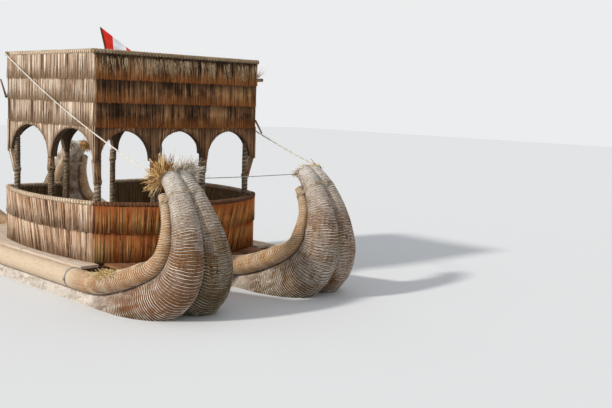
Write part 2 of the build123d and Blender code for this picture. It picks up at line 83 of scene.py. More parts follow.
def set_out(name, data):
    """Stand a new object in the scene."""
    made = bpy.data.objects.new(name, data)
    bpy.context.scene.collection.objects.link(made)
    return made


bpy.context.scene.view_settings.view_transform = "Standard"
lens = bpy.data.cameras.new("camera")
lens.sensor_width = FILM_WIDTH
lens.lens = LENS
lens.clip_end = FARTHEST
camera = set_out("camera", lens)
camera.location = CAMERA_AT
camera.rotation_euler = [math.radians(a) for a in CAMERA_TURN]
bpy.context.scene.camera = camera

lamp = bpy.data.lights.new("broad_lamp", "SUN")
lamp.energy = SUN_POWER
lamp.angle = math.radians(SUN_WIDTH)
lamp.color = SUN_TINT
lamp_stand = set_out("broad_lamp", lamp)
lamp_stand.rotation_euler = Vector(SUN_FROM).to_track_quat("Z", "Y").to_euler()

room = bpy.data.worlds.new("room")
bpy.context.scene.world = room
room.use_nodes = True
room.node_tree.nodes.clear()
sight = put(room.node_tree, "ShaderNodeLightPath")
air = put(room.node_tree, "ShaderNodeBackground", {"Color": ROOM_TINT, "Strength": ROOM_LIGHT})
backdrop = put(room.node_tree, "ShaderNodeBackground",
               {"Color": paint(236, 237, 238), "Strength": 1.0})
seen = put(room.node_tree, "ShaderNodeMixShader",
           {0: sight.outputs["Is Camera Ray"], 1: air.outputs[0], 2: backdrop.outputs[0]})
put(room.node_tree, "ShaderNodeOutputWorld", {"Surface": seen.outputs[0]})

floor_mesh = bpy.data.meshes.new("floor")
floor_mesh.from_pydata([(sx * FLOOR_HALF, sy * FLOOR_HALF, WATERLINE)
                        for sx, sy in ((-1, -1), (1, -1), (1, 1), (-1, 1))], [], [(0, 1, 2, 3)])
floor = set_out("floor", floor_mesh)
pale = bpy.data.materials.new("pale_floor")
pale.use_nodes = True
for label, value in (("Base Color", paint(222, 223, 224)), ("Roughness", 0.9),
                     ("Specular IOR Level", 0.1)):
    pale.node_tree.nodes["Principled BSDF"].inputs[label].default_value = value
floor_mesh.materials.append(pale)

# ---- Hull bundles ----
# Each hull is two fat bundles of dry lake reed, pressed together side by side and drawn
# up at both ends to blunt tips that lean back. Cord is wound round each for its whole
# length. The skin here stands for the four plain bundles of the frame.
HULL_Y = 1.200
HALF_STRAIGHT = 2.184
UPSWEEP = ((2.500, 36), (0.600, 60), (1.250, 50))   # arcs of the ends: radius and degrees
GIRTHS = (              # place along the raised end, inner and outer bundle, roll
    (0.000, 0.400, 0.400, 0.140), (0.450, 0.398, 0.394, 0.138), (0.900, 0.390, 0.380, 0.131),
    (1.340, 0.363, 0.333, 0.124), (1.700, 0.326, 0.282, 0.119), (2.000, 0.281, 0.240, 0.112),
    (2.320, 0.231, 0.198, 0.094), (2.650, 0.172, 0.166, 0.070), (3.290, 0.112, 0.112, 0.050))
BUNDLE_Z = 0.400
PRESSED = 0.8           # a bundle's middle is this share of its radius off the seam
ROLL_SIDE, ROLL_UP = 0.6, 0.8
SEAT = 0.0003           # gap between pieces that touch
RING_STEP = 0.055
HULL_SIDES = 64
LUMP_SIZE = 0.22
SMOOTH_ENDS = 3         # rings over which the lumps die away at each end
HULL_CORD_PITCH = 0.034
HULL_CORD = 0.0047
CORD_SIDES = 3
CORD_BEDDED = 0.6       # share of its radius that a cord's middle stands off the reed
CORD_WAVER = 6.0
SHEEN = 0.25
STREAKS = (0.32, 0.50, 0.70)        # places of the dark, middle and pale reeds in noise
PATCH_NOISE, FLECK_NOISE = (2.6, 6.0, 0.68), (26.0, 4.0, 0.7)   # scale, detail, roughness
PATCHES = (0.44, 0.62, 0.0, 0.65)   # bleached patches: noise from, to, share from, to
FLECKS = (0.54, 0.68, 0.0)          # the same of the dark flecks, up to a share of their own
BLEACHED = 0.90                     # share of bleaching amidships and at the tips
CLEAR_AMIDSHIPS = 0.15              # share of the painted groove shade and of the stain, with its painted shade, left amidships
GROOVE_SHADE = (-0.8, 0.3, 0.0, 0.85)     # painted shade in the grooves beside the cord: wave of the cord from, to, share
TIP_GROOVE_SHADE = 0.75                  # how much fainter the painted groove shade is at the tips
STAIN_AND_SHADE_HEIGHTS = (0.75, 1.85)    # the lake's brown stain, with painted shade, fades out between these heights
TIP_HEIGHTS = (1.55, 2.35)      # and the sun's bleaching sets in between these
STAIN_AND_SHADE_ABEAM = (-0.6, 0.6, 1.0, 0.4)     # it is heavier on the starboard hull
# shares of the foot's stain with painted shade, and of the wet reed with painted shade
STAIN_AND_SHADE, SOAKED_AND_SHADED = 0.85, 0.75
SOAKED_AND_SHADED_HEIGHT = 0.14            # the reed is dark this far above the water: wet, and painted shade
SOAKED_AND_SHADED_REED = (58, 54, 36)
HULL_BLEACHED = (2.4, 3.2)      # amidships it is bleached, and this fades out along X here
HULL_TONES = ((62, 40, 24), (150, 104, 64), (212, 176, 130), (232, 226, 218))
# colours of the feet's stain, partly painted shade; the inner's dark olive is mostly painted
# shade
HULL_STAINS_AND_SHADE = {"outer": (108, 66, 32), "inner": (62, 54, 34)}


def hull_line(along, side):
    """Middle line of a hull: X, Z and heading there, bundle radius and roll radius."""
    column = 2 if side > 0 else 1
    reach, end = abs(along) - HALF_STRAIGHT, math.copysign(1, along)
    if reach <= 0:
        return along, BUNDLE_Z, 0.0, GIRTHS[0][column], GIRTHS[0][3]
    x, z, a, left = HALF_STRAIGHT, BUNDLE_Z, 0.0, reach
    for radius, degrees in UPSWEEP:
        part = min(left, radius * math.radians(degrees)) / radius
        x += radius * (math.sin(a + part) - math.sin(a))
        z += radius * (math.cos(a) - math.cos(a + part))
        a += part
        left -= part * radius
    places = [g[0] for g in GIRTHS]
    return (end * x, z, end * a, float(np.interp(reach, places, [g[column] for g in GIRTHS])),
            float(np.interp(reach, places, [g[3] for g in GIRTHS])))


HULL_END = HALF_STRAIGHT + sum(radius * math.radians(degrees) for radius, degrees in UPSWEEP)


def bundle_run(first, last, hull, side, roll=False):
    """Line, frame and radius of one bundle, or of the roll above it, bow positive."""
    places = np.linspace(first, last, max(2, round((last - first) / RING_STEP)))
    middle, across, up, girth = [], [], [], []
    for along in places:
        x, z, a, r, rr = hull_line(along, side)
        lift = np.array((-math.sin(a), 0.0, math.cos(a)))
        out = np.array((0.0, hull * side, 0.0))
        centre = np.array((x, hull * HULL_Y, z))
        if roll:
            reach = r + rr + SEAT
            centre = centre + out * (PRESSED * r + reach * ROLL_SIDE) + lift * reach * ROLL_UP
            girth.append(rr)
        else:
            centre = centre + out * PRESSED * r
            girth.append(r)
        middle.append(centre)
        across.append(out)
        up.append(lift)
    return places, np.array(middle), np.array(across), np.array(up), np.array(girth)


def lumps(points, height):
    """Slow swellings of a hand-packed bundle."""
    return np.array([noise.noise(Vector(p) * (1 / LUMP_SIZE)) * height for p in points])


def mesh_from(name, points, faces, uvs=None):
    """A smooth mesh whose faces all look outward."""
    mesh = bpy.data.meshes.new(name)
    mesh.from_pydata([tuple(p) for p in points], [], faces)
    if uvs is not None:
        layer = mesh.uv_layers.new(name="reed_run")
        layer.data.foreach_set("uv", np.array(uvs, dtype=np.float32).ravel())
    turned = bmesh.new()
    turned.from_mesh(mesh)
    bmesh.ops.recalc_face_normals(turned, faces=turned.faces)
    turned.to_mesh(mesh)
    turned.free()
    for face in mesh.polygons:
        face.use_smooth = True
    return mesh


def reed_skin(name, run, sides, finish, swelling=0.006, seam_y=None):
    """Closed skin of a bundle or roll, flat where it meets a seam. UV counts metres
    round it and along it."""
    places, middle, across, up, girth = run
    rings = len(places)
    turn = np.arange(sides) / sides * 2 * math.pi
    ring = (across[:, None] * np.cos(turn)[None, :, None]
            + up[:, None] * np.sin(turn)[None, :, None])
    points = middle[:, None] + ring * girth[:, None, None]
    swell = lumps(points.reshape(-1, 3), swelling).reshape(rings, sides)
    from_end = np.minimum(np.arange(rings), np.arange(rings)[::-1])
    points = points + ring * (swell * np.minimum(1, from_end / SMOOTH_ENDS)[:, None])[..., None]
    if seam_y is not None:
        outward = across[0][1]
        off = (points[..., 1] - seam_y) * outward
        points[..., 1] = seam_y + outward * np.maximum(off, SEAT)
    points = points.reshape(-1, 3)
    round_it = 2 * math.pi * girth.max()
    faces, uvs = [], []
    for i in range(rings - 1):
        for j in range(sides):
            k = (j + 1) % sides
            faces.append((i * sides + j, i * sides + k, (i + 1) * sides + k, (i + 1) * sides + j))
            u0, u1 = j / sides * round_it, (j + 1) / sides * round_it
            uvs += [(u0, places[i]), (u1, places[i]), (u1, places[i + 1]), (u0, places[i + 1])]
    for i, tip in ((0, rings * sides), (rings - 1, rings * sides + 1)):
        for j in range(sides):
            k = (j + 1) % sides
            faces.append((i * sides + j, i * sides + k, tip))
            uvs += [(j / sides * round_it, places[i]), ((j + 1) / sides * round_it, places[i]),
                    (j / sides * round_it, places[i])]
    caps = [points[:sides].mean(axis=0), points[-sides:].mean(axis=0)]
    skin = mesh_from(name, np.vstack([points, caps]), faces, uvs)
    skin.materials.append(finish)
    return skin


def show(name, mesh, replaced=()):
    """A finished piece at the origin, riding on the boat."""
    piece = set_out(name, mesh)
    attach(piece, "root")
    if replaced:
        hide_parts(*replaced)
    return piece


def maths(tree, operation, first, second=0.0, third=0.0):
    """One step of sums on numbers."""
    made = put(tree, "ShaderNodeMath", {0: first, 1: second, 2: third}, operation=operation)
    return made.outputs[0]


def vector_maths(tree, operation, first, second):
    """One step of sums on vectors. To scale one, the second value is a number."""
    slot = "Scale" if operation == "SCALE" else 1
    made = put(tree, "ShaderNodeVectorMath", {0: first, slot: second}, operation=operation)
    return made.outputs[0]


def split(tree, vector):
    """The three parts of a vector."""
    return put(tree, "ShaderNodeSeparateXYZ", {0: vector}).outputs


def cloudy(tree, place, scale, detail=2.0, roughness=0.5, dimensions="3D"):
    """Noise from 0 to 1, the finer the larger the scale."""
    made = put(tree, "ShaderNodeTexNoise",
               {"Vector": place, "Scale": scale, "Detail": detail, "Roughness": roughness},
               noise_dimensions=dimensions)
    return made.outputs["Fac"]


def streaks(tree, place, scales, detail, roughness=0.6, dimensions="3D"):
    """Noise drawn out along the reeds or the grain."""
    drawn = vector_maths(tree, "MULTIPLY", place, scales)
    return cloudy(tree, drawn, 1.0, detail, roughness, dimensions)


def swing(tree, value, width):
    """How far a value from 0 to 1 is off its middle, times a width."""
    return maths(tree, "MULTIPLY", maths(tree, "SUBTRACT", value, 0.5), width)


def fade(tree, value, low, high, to_low=0.0, to_high=1.0):
    """Value run from one range to another, held at its ends."""
    made = put(tree, "ShaderNodeMapRange",
               {"Value": value, "From Min": low, "From Max": high,
                "To Min": to_low, "To Max": to_high}, clamp=True)
    return made.outputs["Result"]


def ramp(tree, factor, places, tones):
    """Scale of colours, each tone at its place."""
    made = put(tree, "ShaderNodeValToRGB", {"Fac": factor})
    while len(made.color_ramp.elements) < len(places):
        made.color_ramp.elements.new(0.5)
    for element, place, tone in zip(made.color_ramp.elements, places, tones):
        element.position = place
        element.color = paint(*tone)
    return made.outputs["Color"]


def blend(tree, share, colour, tone):
    """That share of a tone laid over a colour."""
    return put(tree, "ShaderNodeMix", {0: share, 6: colour, 7: paint(*tone)},
               data_type="RGBA").outputs[2]


def new_finish(name):
    """An empty material, its node tree, and the place of each point on the object."""
    made = bpy.data.materials.new(name)
    made.use_nodes = True
    place = put(made.node_tree, "ShaderNodeTexCoord").outputs["Object"]
    return made, made.node_tree, place


def set_look(tree, colour, roughness, relief=None, strength=0.0, depth=0.0):
    """Give a material its colour and roughness, and bumps where the relief is high."""
    shader = tree.nodes["Principled BSDF"]
    shader.inputs["Specular IOR Level"].default_value = SHEEN
    shader.inputs["Roughness"].default_value = roughness
    tree.links.new(colour, shader.inputs["Base Color"])
    if relief is not None:
        bump = put(tree, "ShaderNodeBump",
                   {"Height": relief, "Strength": strength, "Distance": depth})
        tree.links.new(bump.outputs[0], shader.inputs["Normal"])


def bound_reed_finish(name, tones, pitch, round_it, bleach=None, stain=None, reed=0.013,
                      flecked=0.8):
    """Dry reed under wound cord: lengthwise streaks, bleached patches, dark flecks and painted
    shade in the groove beside each turn of cord. With bleach it is also paler amidships, as far
    as those places along X, and near the tips. Given a stain colour, its upswept foot is
    darkened, which is the lake's stain and painted shade, and it is dark just above the water,
    which is wet reed and painted shade. Tones run from dark to pale, then the bleached one."""
    made, tree, place = new_finish(name)
    run = put(tree, "ShaderNodeUVMap", uv_map="reed_run").outputs[0]
    round_at, along_at, _ = split(tree, run)
    ahead, abeam, height = split(tree, place)
    reeds_seen = streaks(tree, run, (1 / reed, 3.0, 1.0), 3.0, dimensions="2D")
    colour = ramp(tree, reeds_seen, STREAKS, tones)
    bloom = fade(tree, cloudy(tree, place, *PATCH_NOISE), *PATCHES)
    if bleach:
        far = maths(tree, "ABSOLUTE", ahead)
        bloom = maths(tree, "MAXIMUM", bloom, fade(tree, far, *bleach, BLEACHED, 0.0))
        tips = fade(tree, height, *TIP_HEIGHTS, 0.0, BLEACHED)
        bloom = maths(tree, "MAXIMUM", bloom, tips)
        upswept = fade(tree, far, *bleach, CLEAR_AMIDSHIPS, 1.0)
    colour = blend(tree, bloom, colour, tones[3])
    flecks = fade(tree, cloudy(tree, place, *FLECK_NOISE), *FLECKS, flecked)
    colour = blend(tree, flecks, colour, tones[0])
    # painted shade in the groove beside each turn of cord
    turns = maths(tree, "SUBTRACT", maths(tree, "DIVIDE", along_at, pitch),
                  maths(tree, "DIVIDE", round_at, round_it))
    swell = maths(tree, "COSINE", maths(tree, "MULTIPLY", turns, 2 * math.pi))
    groove_shade = fade(tree, swell, *GROOVE_SHADE)
    if bleach:
        fainter = maths(tree, "MULTIPLY", tips, TIP_GROOVE_SHADE)
        groove_shade = maths(tree, "MULTIPLY", groove_shade, maths(tree, "SUBTRACT", upswept, fainter))
    colour = blend(tree, groove_shade, colour, tones[0])
    # the upswept foot is darkened: the lake's stain and painted shade
    if stain:
        stain_and_shade_share = maths(tree, "MULTIPLY", fade(tree, height, *STAIN_AND_SHADE_HEIGHTS, STAIN_AND_SHADE, 0.0),
                        fade(tree, abeam, *STAIN_AND_SHADE_ABEAM))
        colour = blend(tree, maths(tree, "MULTIPLY", stain_and_shade_share, upswept), colour, stain)
        # dark just above the water: wet reed and painted shade
        soaked_and_shaded = fade(tree, height, WATERLINE, WATERLINE + SOAKED_AND_SHADED_HEIGHT, SOAKED_AND_SHADED, 0.0)
        colour = blend(tree, maths(tree, "MULTIPLY", soaked_and_shaded, upswept), colour, SOAKED_AND_SHADED_REED)
    stalks = maths(tree, "COSINE", maths(tree, "MULTIPLY", round_at, 2 * math.pi / reed))
    relief = maths(tree, "ADD", maths(tree, "MULTIPLY", stalks, 0.25),
                   maths(tree, "ADD", maths(tree, "MULTIPLY", swell, -0.8), reeds_seen))
    set_look(tree, colour, 0.82, relief, 0.8, 0.005)
    return made


def cord_finish(name, light, dark):
    """Grass cord, twisted by hand: pale, dull, darker here and there."""
    made, tree, place = new_finish(name)
    worn = cloudy(tree, place, 9.0, 6.0, 0.7)
    set_look(tree, ramp(tree, worn, (0.34, 0.62), (dark, light)), 0.9,
             cloudy(tree, place, 420.0), 0.4, 0.001)
    return made


def new_tree(name, inputs):
    """A tree that makes shapes, and the sockets of what it is given."""
    tree = bpy.data.node_groups.new(name, "GeometryNodeTree")
    for kind, label in inputs:
        tree.interface.new_socket(name=label, in_out="INPUT", socket_type="NodeSocket" + kind)
    tree.interface.new_socket(name="Made", in_out="OUTPUT", socket_type="NodeSocketGeometry")
    return tree, put(tree, "NodeGroupInput").outputs


def end_tree(tree, made, finish):
    """Give what the tree has made its material, and hand it over."""
    done = put(tree, "GeometryNodeSetMaterial", {"Geometry": made, "Material": finish})
    put(tree, "NodeGroupOutput", {"Made": done.outputs[0]})
    return tree


def known(tree, label, kind="FLOAT"):
    """What the points of a mesh know under that label."""
    return put(tree, "GeometryNodeInputNamedAttribute", {"Name": label},
               data_type=kind).outputs[0]


def winding_tree():
    """Cord wound round a line that knows its frame and radius: resample the line, push
    each point out to the girth at its turn, let it drift a little along the line, and
    sweep a thin round section along it."""
    tree, given = new_tree("cord_winding", (("Geometry", "Line"), ("Int", "Steps"),
                                            ("Float", "Cord radius"), ("Float", "Unevenness"),
                                            ("Material", "Finish")))
    line = put(tree, "GeometryNodeMeshToCurve", {"Mesh": given["Line"]})
    fine = put(tree, "GeometryNodeResampleCurve",
               {"Curve": line.outputs[0], "Count": given["Steps"]})
    across, up = (known(tree, label, "FLOAT_VECTOR") for label in ("across", "up"))
    angle = maths(tree, "MULTIPLY", known(tree, "turn"), 2 * math.pi)
    side = vector_maths(tree, "SCALE", across, maths(tree, "COSINE", angle))
    lift = vector_maths(tree, "SCALE", up, maths(tree, "SINE", angle))
    push = vector_maths(tree, "SCALE", vector_maths(tree, "ADD", side, lift),
                        known(tree, "girth"))
    spot = put(tree, "GeometryNodeInputPosition").outputs[0]
    waver = cloudy(tree, vector_maths(tree, "ADD", spot, push), CORD_WAVER, 3.0)
    forward = vector_maths(tree, "CROSS_PRODUCT", across, up)
    drift = vector_maths(tree, "SCALE", forward, swing(tree, waver, given["Unevenness"]))
    wound = put(tree, "GeometryNodeSetPosition",
                {"Geometry": fine.outputs[0], "Offset": vector_maths(tree, "ADD", push, drift)})
    section = put(tree, "GeometryNodeCurvePrimitiveCircle",
                  {"Resolution": CORD_SIDES, "Radius": given["Cord radius"]})
    cord = put(tree, "GeometryNodeCurveToMesh",
               {"Curve": wound.outputs[0], "Profile Curve": section.outputs[0],
                "Fill Caps": True})
    smooth = put(tree, "GeometryNodeSetShadeSmooth", {"Geometry": cord.outputs[0]})
    real = put(tree, "GeometryNodeRealizeInstances", {"Geometry": smooth.outputs[0]})
    return end_tree(tree, real.outputs[0], given["Finish"])


def grown(name, mesh, tree, inputs):
    """Run a node tree on a mesh and keep the result as a plain mesh."""
    carrier = set_out(name + "_guide", mesh)
    modifier = carrier.modifiers.new("grow", "NODES")
    modifier.node_group = tree
    for item in tree.interface.items_tree:
        if item.item_type == "SOCKET" and item.in_out == "INPUT" and item.name in inputs:
            modifier[item.identifier] = inputs[item.name]
    evaluated = carrier.evaluated_get(bpy.context.evaluated_depsgraph_get())
    plain = bpy.data.meshes.new_from_object(evaluated)
    carrier.modifiers.remove(modifier)
    bpy.data.objects.remove(carrier)
    plain.name = name
    return plain


def store(mesh, label, values):
    """Let each point of a mesh know a number, or a vector, under that label."""
    values = np.array(values, dtype=np.float32)
    kind, slot = ("FLOAT", "value") if values.ndim == 1 else ("FLOAT_VECTOR", "vector")
    layer = mesh.attributes.new(label, kind, "POINT")
    layer.data.foreach_set(slot, values.ravel())


cord_winding = winding_tree()


def wind(name, run, pitch, cord, finish, steps=20, lift=0.0, uneven=0.050):
    """Cord wound along a run at that pitch, as a plain mesh."""
    places, middle, across, up, girth = run
    line = bpy.data.meshes.new(name)
    line.from_pydata([tuple(p) for p in middle], [(i, i + 1) for i in range(len(middle) - 1)], [])
    store(line, "girth", girth + (cord * CORD_BEDDED + lift))
    store(line, "turn", places / pitch)
    store(line, "across", across)
    store(line, "up", up)
    turns = (places[-1] - places[0]) / pitch
    return grown(name, line, cord_winding,
                 {"Steps": int(turns * steps), "Cord radius": cord, "Unevenness": uneven,
                  "Finish": finish})


hull_finishes = {part: bound_reed_finish(part + "_hull_reed", HULL_TONES, HULL_CORD_PITCH,
                                         2 * math.pi * GIRTHS[0][1], HULL_BLEACHED, stain)
                 for part, stain in HULL_STAINS_AND_SHADE.items()}
# the inner cord is a darker copy of the outer one: painted shade
hull_cords = {"outer": cord_finish("outer_hull_cord", (250, 242, 228), (146, 114, 80)),
              "inner": cord_finish("inner_hull_cord_shaded", (204, 192, 168), (104, 88, 62))}
for hull, board in ((1, "port"), (-1, "starboard")):
    for side, part in ((1, "outer"), (-1, "inner")):
        node = "hull_" + board + "_" + part
        run = bundle_run(-HULL_END, HULL_END, hull, side)
        skin = reed_skin(node + "_reeds", run, HULL_SIDES, hull_finishes[part],
                         seam_y=hull * HULL_Y)
        show(node + "_reeds", skin, (node,))
        cord = hull_cords["outer" if board == "port" else part]     # port's are both pale: the inner cord's painted shade stays on the starboard hull
        winding = wind(node + "_windings", run, HULL_CORD_PITCH, HULL_CORD, cord)
        show(node + "_windings", winding)

# ---- Gunwale rolls ----
# A slimmer roll of the same reed is sewn along the top of each outer bundle for nearly
# its whole length, and along the inner ones only past the deck's ends. It has its cord too.
ROLL_CORD_PITCH = 0.031
ROLL_CORD = 0.0052
ROLL_CORD_STEPS = 16
ROLL_SIDES = 28
ROLL_CORD_SUNK = 0.012  # along the deck the reed has swollen over the cord,
SUNK_FADE = (2.0, 2.6)  # which comes back to the surface between these places
ROLL_STOP = 0.215       # the rolls stop this far short of the bundles' ends
INNER_ROLL_PLACE = 2.400
ROLL_TONES = ((84, 46, 22), (222, 166, 104), (232, 196, 148), (226, 208, 182))
roll_reed = bound_reed_finish("bound_roll_reed", ROLL_TONES, ROLL_CORD_PITCH,
                              2 * math.pi * GIRTHS[0][3], (2.0, 2.8), (146, 92, 44),
                              reed=0.010, flecked=0.3)
roll_cord = cord_finish("roll_cord", (244, 230, 206), (190, 156, 114))


def lengths_along(points):
    """How far along a line each of its points lies."""
    return np.r_[0, np.cumsum(np.linalg.norm(np.diff(points, axis=0), axis=1))]


def joined(name, meshes):
    """Several meshes as one."""
    together = bmesh.new()
    for mesh in meshes:
        together.from_mesh(mesh)
    whole = bpy.data.meshes.new(name)
    together.to_mesh(whole)
    together.free()
    for material in meshes[0].materials:
        whole.materials.append(material)
    for face in whole.polygons:
        face.use_smooth = True
    return whole


def show_all(name, meshes, replaced=()):
    """Several meshes of one finish, as one finished piece."""
    return show(name, joined(name, meshes), replaced)


def roll(name, first, last, hull, side):
    """Skin and winding of one roll between two places along its hull."""
    _, middle, across, up, girth = bundle_run(first, last, hull, side, roll=True)
    gone = lengths_along(middle)
    skin = reed_skin(name + "_reeds", (gone, middle, across, up, girth), ROLL_SIDES,
                     roll_reed, swelling=0.003)
    sunk = np.interp(np.abs(middle[:, 0]), SUNK_FADE, (ROLL_CORD_SUNK, 0.0))
    winding = wind(name + "_windings", (gone, middle, across, up, girth - sunk),
                   ROLL_CORD_PITCH, ROLL_CORD, roll_cord, steps=ROLL_CORD_STEPS, uneven=0.030)
    return skin, winding


for hull, board in ((1, "port"), (-1, "starboard")):
    node = "roll_" + board + "_outer"
    skin, winding = roll(node, ROLL_STOP - HULL_END, HULL_END - ROLL_STOP, hull, 1)
    show(node + "_reeds", skin, (node,))
    show(node + "_windings", winding)
for end, node in ((1, "rolls_inner_fore"), (-1, "rolls_inner_aft")):
    first, last = sorted((end * INNER_ROLL_PLACE, end * (HULL_END - ROLL_STOP)))
    skins, cords = zip(*[roll("roll", first, last, hull, -1) for hull in (1, -1)])
    show_all(node + "_reeds", skins, (node,))
    show_all(node + "_windings", cords)

# ---- Lashings of the ends ----
# Grass rope goes round both bundles and both rolls near each tip, a few turns drawn
# tight, and takes the place of the plain band of the frame.
LASHING_PLACE = 2.930
LASHING_ROPE = 0.005
LASHING_TURNS = 3
LASHING_PITCH = 0.020
LASHING_STEPS = 48
grass_rope = cord_finish("grass_rope", (214, 202, 178), (140, 116, 84))


def tight_turns(end, hull):
    """Points of a rope drawn tight round the four round strands of one hull's end. In
    each direction it lies on the strand that stands out farthest."""
    points = []
    for turn in np.linspace(0, LASHING_TURNS, LASHING_TURNS * LASHING_STEPS):
        along = LASHING_PLACE + (turn - LASHING_TURNS / 2) * LASHING_PITCH
        strands = []
        for side in (1, -1):
            x, z, a, r, rr = hull_line(end * (HALF_STRAIGHT + along), side)
            reach = r + rr + SEAT
            strands.append((side * PRESSED * r, 0.0, r))
            strands.append((side * (PRESSED * r + reach * ROLL_SIDE), reach * ROLL_UP, rr))
        c, s = math.cos(turn * 2 * math.pi), math.sin(turn * 2 * math.pi)
        y, lift, r = max(strands, key=lambda strand: strand[0] * c + strand[1] * s + strand[2])
        y, lift = y + (r + LASHING_ROPE) * c, lift + (r + LASHING_ROPE) * s
        points.append((x - math.sin(a) * lift, hull * (HULL_Y + y), z + math.cos(a) * lift))
    return np.array(points)


def rope_along(name, points, radius, finish):
    """A plain round rope through the points."""
    curve = bpy.data.curves.new(name, "CURVE")
    curve.dimensions = "3D"
    curve.bevel_depth = radius
    curve.bevel_resolution = 1
    curve.use_fill_caps = True
    line = curve.splines.new("POLY")
    line.points.add(len(points) - 1)
    line.points.foreach_set("co", np.c_[points, np.ones(len(points))].ravel())
    carrier = set_out(name + "_line", curve)
    mesh = bpy.data.meshes.new_from_object(
        carrier.evaluated_get(bpy.context.evaluated_depsgraph_get()))
    bpy.data.objects.remove(carrier)
    mesh.name = name
    mesh.materials.clear()
    mesh.materials.append(finish)
    for face in mesh.polygons:
        face.use_smooth = True
    return mesh


for end, node in ((1, "prow_lashings"), (-1, "stern_lashings")):
    turns = [rope_along("turns", tight_turns(end, hull), LASHING_ROPE, grass_rope)
             for hull in (1, -1)]
    show_all(node + "_rope", turns, (node,))

# ---- Brushes of loose reed ----
# Past the last cord each bundle's reeds spring loose and spread. They are straw-coloured
# on the outer bundles, and bleached and frayed on the inner ones, whose near white is partly
# painted light. The starboard brushes are by far the fuller.
BRUSHES = {             # by hull and side: reach, curl, neck, head and number of stalks
    (-1, 1): ((0.06, 0.16), (-0.11, 0.18), 0.100, 0.145, 1300),
    (-1, -1): ((0.06, 0.14), (-0.17, 0.00), 0.092, 0.130, 900),
    (1, 1): ((0.05, 0.13), (0.03, 0.10), 0.098, 0.112, 420),
    (1, -1): ((0.03, 0.08), (0.01, 0.05), 0.090, 0.100, 360)}
BRUSH_OFF = {1: 0.160, -1: 0.128}   # how far off its hull's middle each brush stands
BRUSH_SUNK = 0.03
FLARE = 1.3             # the stalks spread this many times the step from neck to head
STRAY, SWAY = 0.16, 0.24            # and stray, as shares of the longest reach
FRAYED_HANG = {-1: 0.25, 1: 0.03}   # frayed reeds fall inboard by up to this much,
FRAYED_DROP = -0.6                  # and down by this share of it
STALK = 0.0056
STALK_FLATNESS = 0.7
LOOSE_TONES = (0.20, 0.48, 0.82)    # places of the tones among the reeds
LOOSE_NOISE = (2.2, 4.0, 0.6)
TOP_TINT = (0.0, 0.50, 0.85, 0.0)   # place along the reed from, to, share from, to
LOW_TINT = (0.55, 1.0, 0.0, 0.7)
SHADE_ABEAM = (-1.2, 1.2)           # a shade on the starboard side fades out between these
CORE_RINGS, CORE_SIDES, CORE_REACH = 7, 18, 0.8
CORE_GIRTH = (0.9, 0.55)            # shares of the neck and of the head


def reed_guides(name, starts, ends, outs, width, thick, tones, sways):
    """One point for each reed, which knows the reed's turn, size, tone and sway. The
    outward direction, the half width and the half thickness may be one for all reeds."""
    mesh = bpy.data.meshes.new(name)
    mesh.from_pydata([tuple(p) for p in starts], [], [])
    aims = ends - starts
    sizes = [np.broadcast_to(size, len(aims))
             for size in (width, thick, np.linalg.norm(aims, axis=1))]
    turns = []
    for aim, out in zip(aims, np.broadcast_to(outs, aims.shape)):
        down = Vector(aim).normalized()
        side = Vector(out).cross(down).normalized()
        turns.append(Matrix((side, down.cross(side), down)).transposed().to_euler())
    store(mesh, "turn", turns)
    store(mesh, "size", np.stack(sizes, axis=1))
    store(mesh, "sway", sways)
    store(mesh, "tone", tones)
    return mesh


def reed_tree():
    """A tapering stalk at every guide point, turned and sized as the point says, its
    free end pushed aside by the sway."""
    tree, given = new_tree("loose_reeds", (("Geometry", "Guides"), ("Int", "Sides"),
                                           ("Int", "Lengths"), ("Float", "Tip"),
                                           ("Material", "Finish")))
    stalk = put(tree, "GeometryNodeMeshCone",
                {"Vertices": given["Sides"], "Side Segments": given["Lengths"],
                 "Radius Top": given["Tip"], "Radius Bottom": 1.0, "Depth": 1.0})
    here = put(tree, "GeometryNodeInputPosition").outputs[0]
    marked = put(tree, "GeometryNodeStoreNamedAttribute",
                 {"Geometry": stalk.outputs[0], "Name": "down", "Value": split(tree, here)[2]},
                 data_type="FLOAT", domain="POINT")
    turned = put(tree, "FunctionNodeEulerToRotation", {0: known(tree, "turn", "FLOAT_VECTOR")})
    stood = put(tree, "GeometryNodeInstanceOnPoints",
                {"Points": given["Guides"], "Instance": marked.outputs[0],
                 "Rotation": turned.outputs[0], "Scale": known(tree, "size", "FLOAT_VECTOR")})
    real = put(tree, "GeometryNodeRealizeInstances", {"Geometry": stood.outputs[0]})
    far = maths(tree, "POWER", known(tree, "down"), 2.0)
    bent = vector_maths(tree, "SCALE", known(tree, "sway", "FLOAT_VECTOR"), far)
    moved = put(tree, "GeometryNodeSetPosition", {"Geometry": real.outputs[0], "Offset": bent})
    plain = put(tree, "GeometryNodeSetShadeSmooth", {"Geometry": moved.outputs[0]})
    for label in ("turn", "size", "sway"):
        plain = put(tree, "GeometryNodeRemoveAttribute",
                    {"Geometry": plain.outputs[0], "Name": label})
    return end_tree(tree, plain.outputs[0], given["Finish"])


loose_reeds = reed_tree()


def reeds(name, guides, finish, lengths, tip=0.6):
    """Three-sided stalks grown on their guides, in that many lengths."""
    return grown(name, guides, loose_reeds,
                 {"Sides": 3, "Lengths": lengths, "Tip": tip, "Finish": finish})


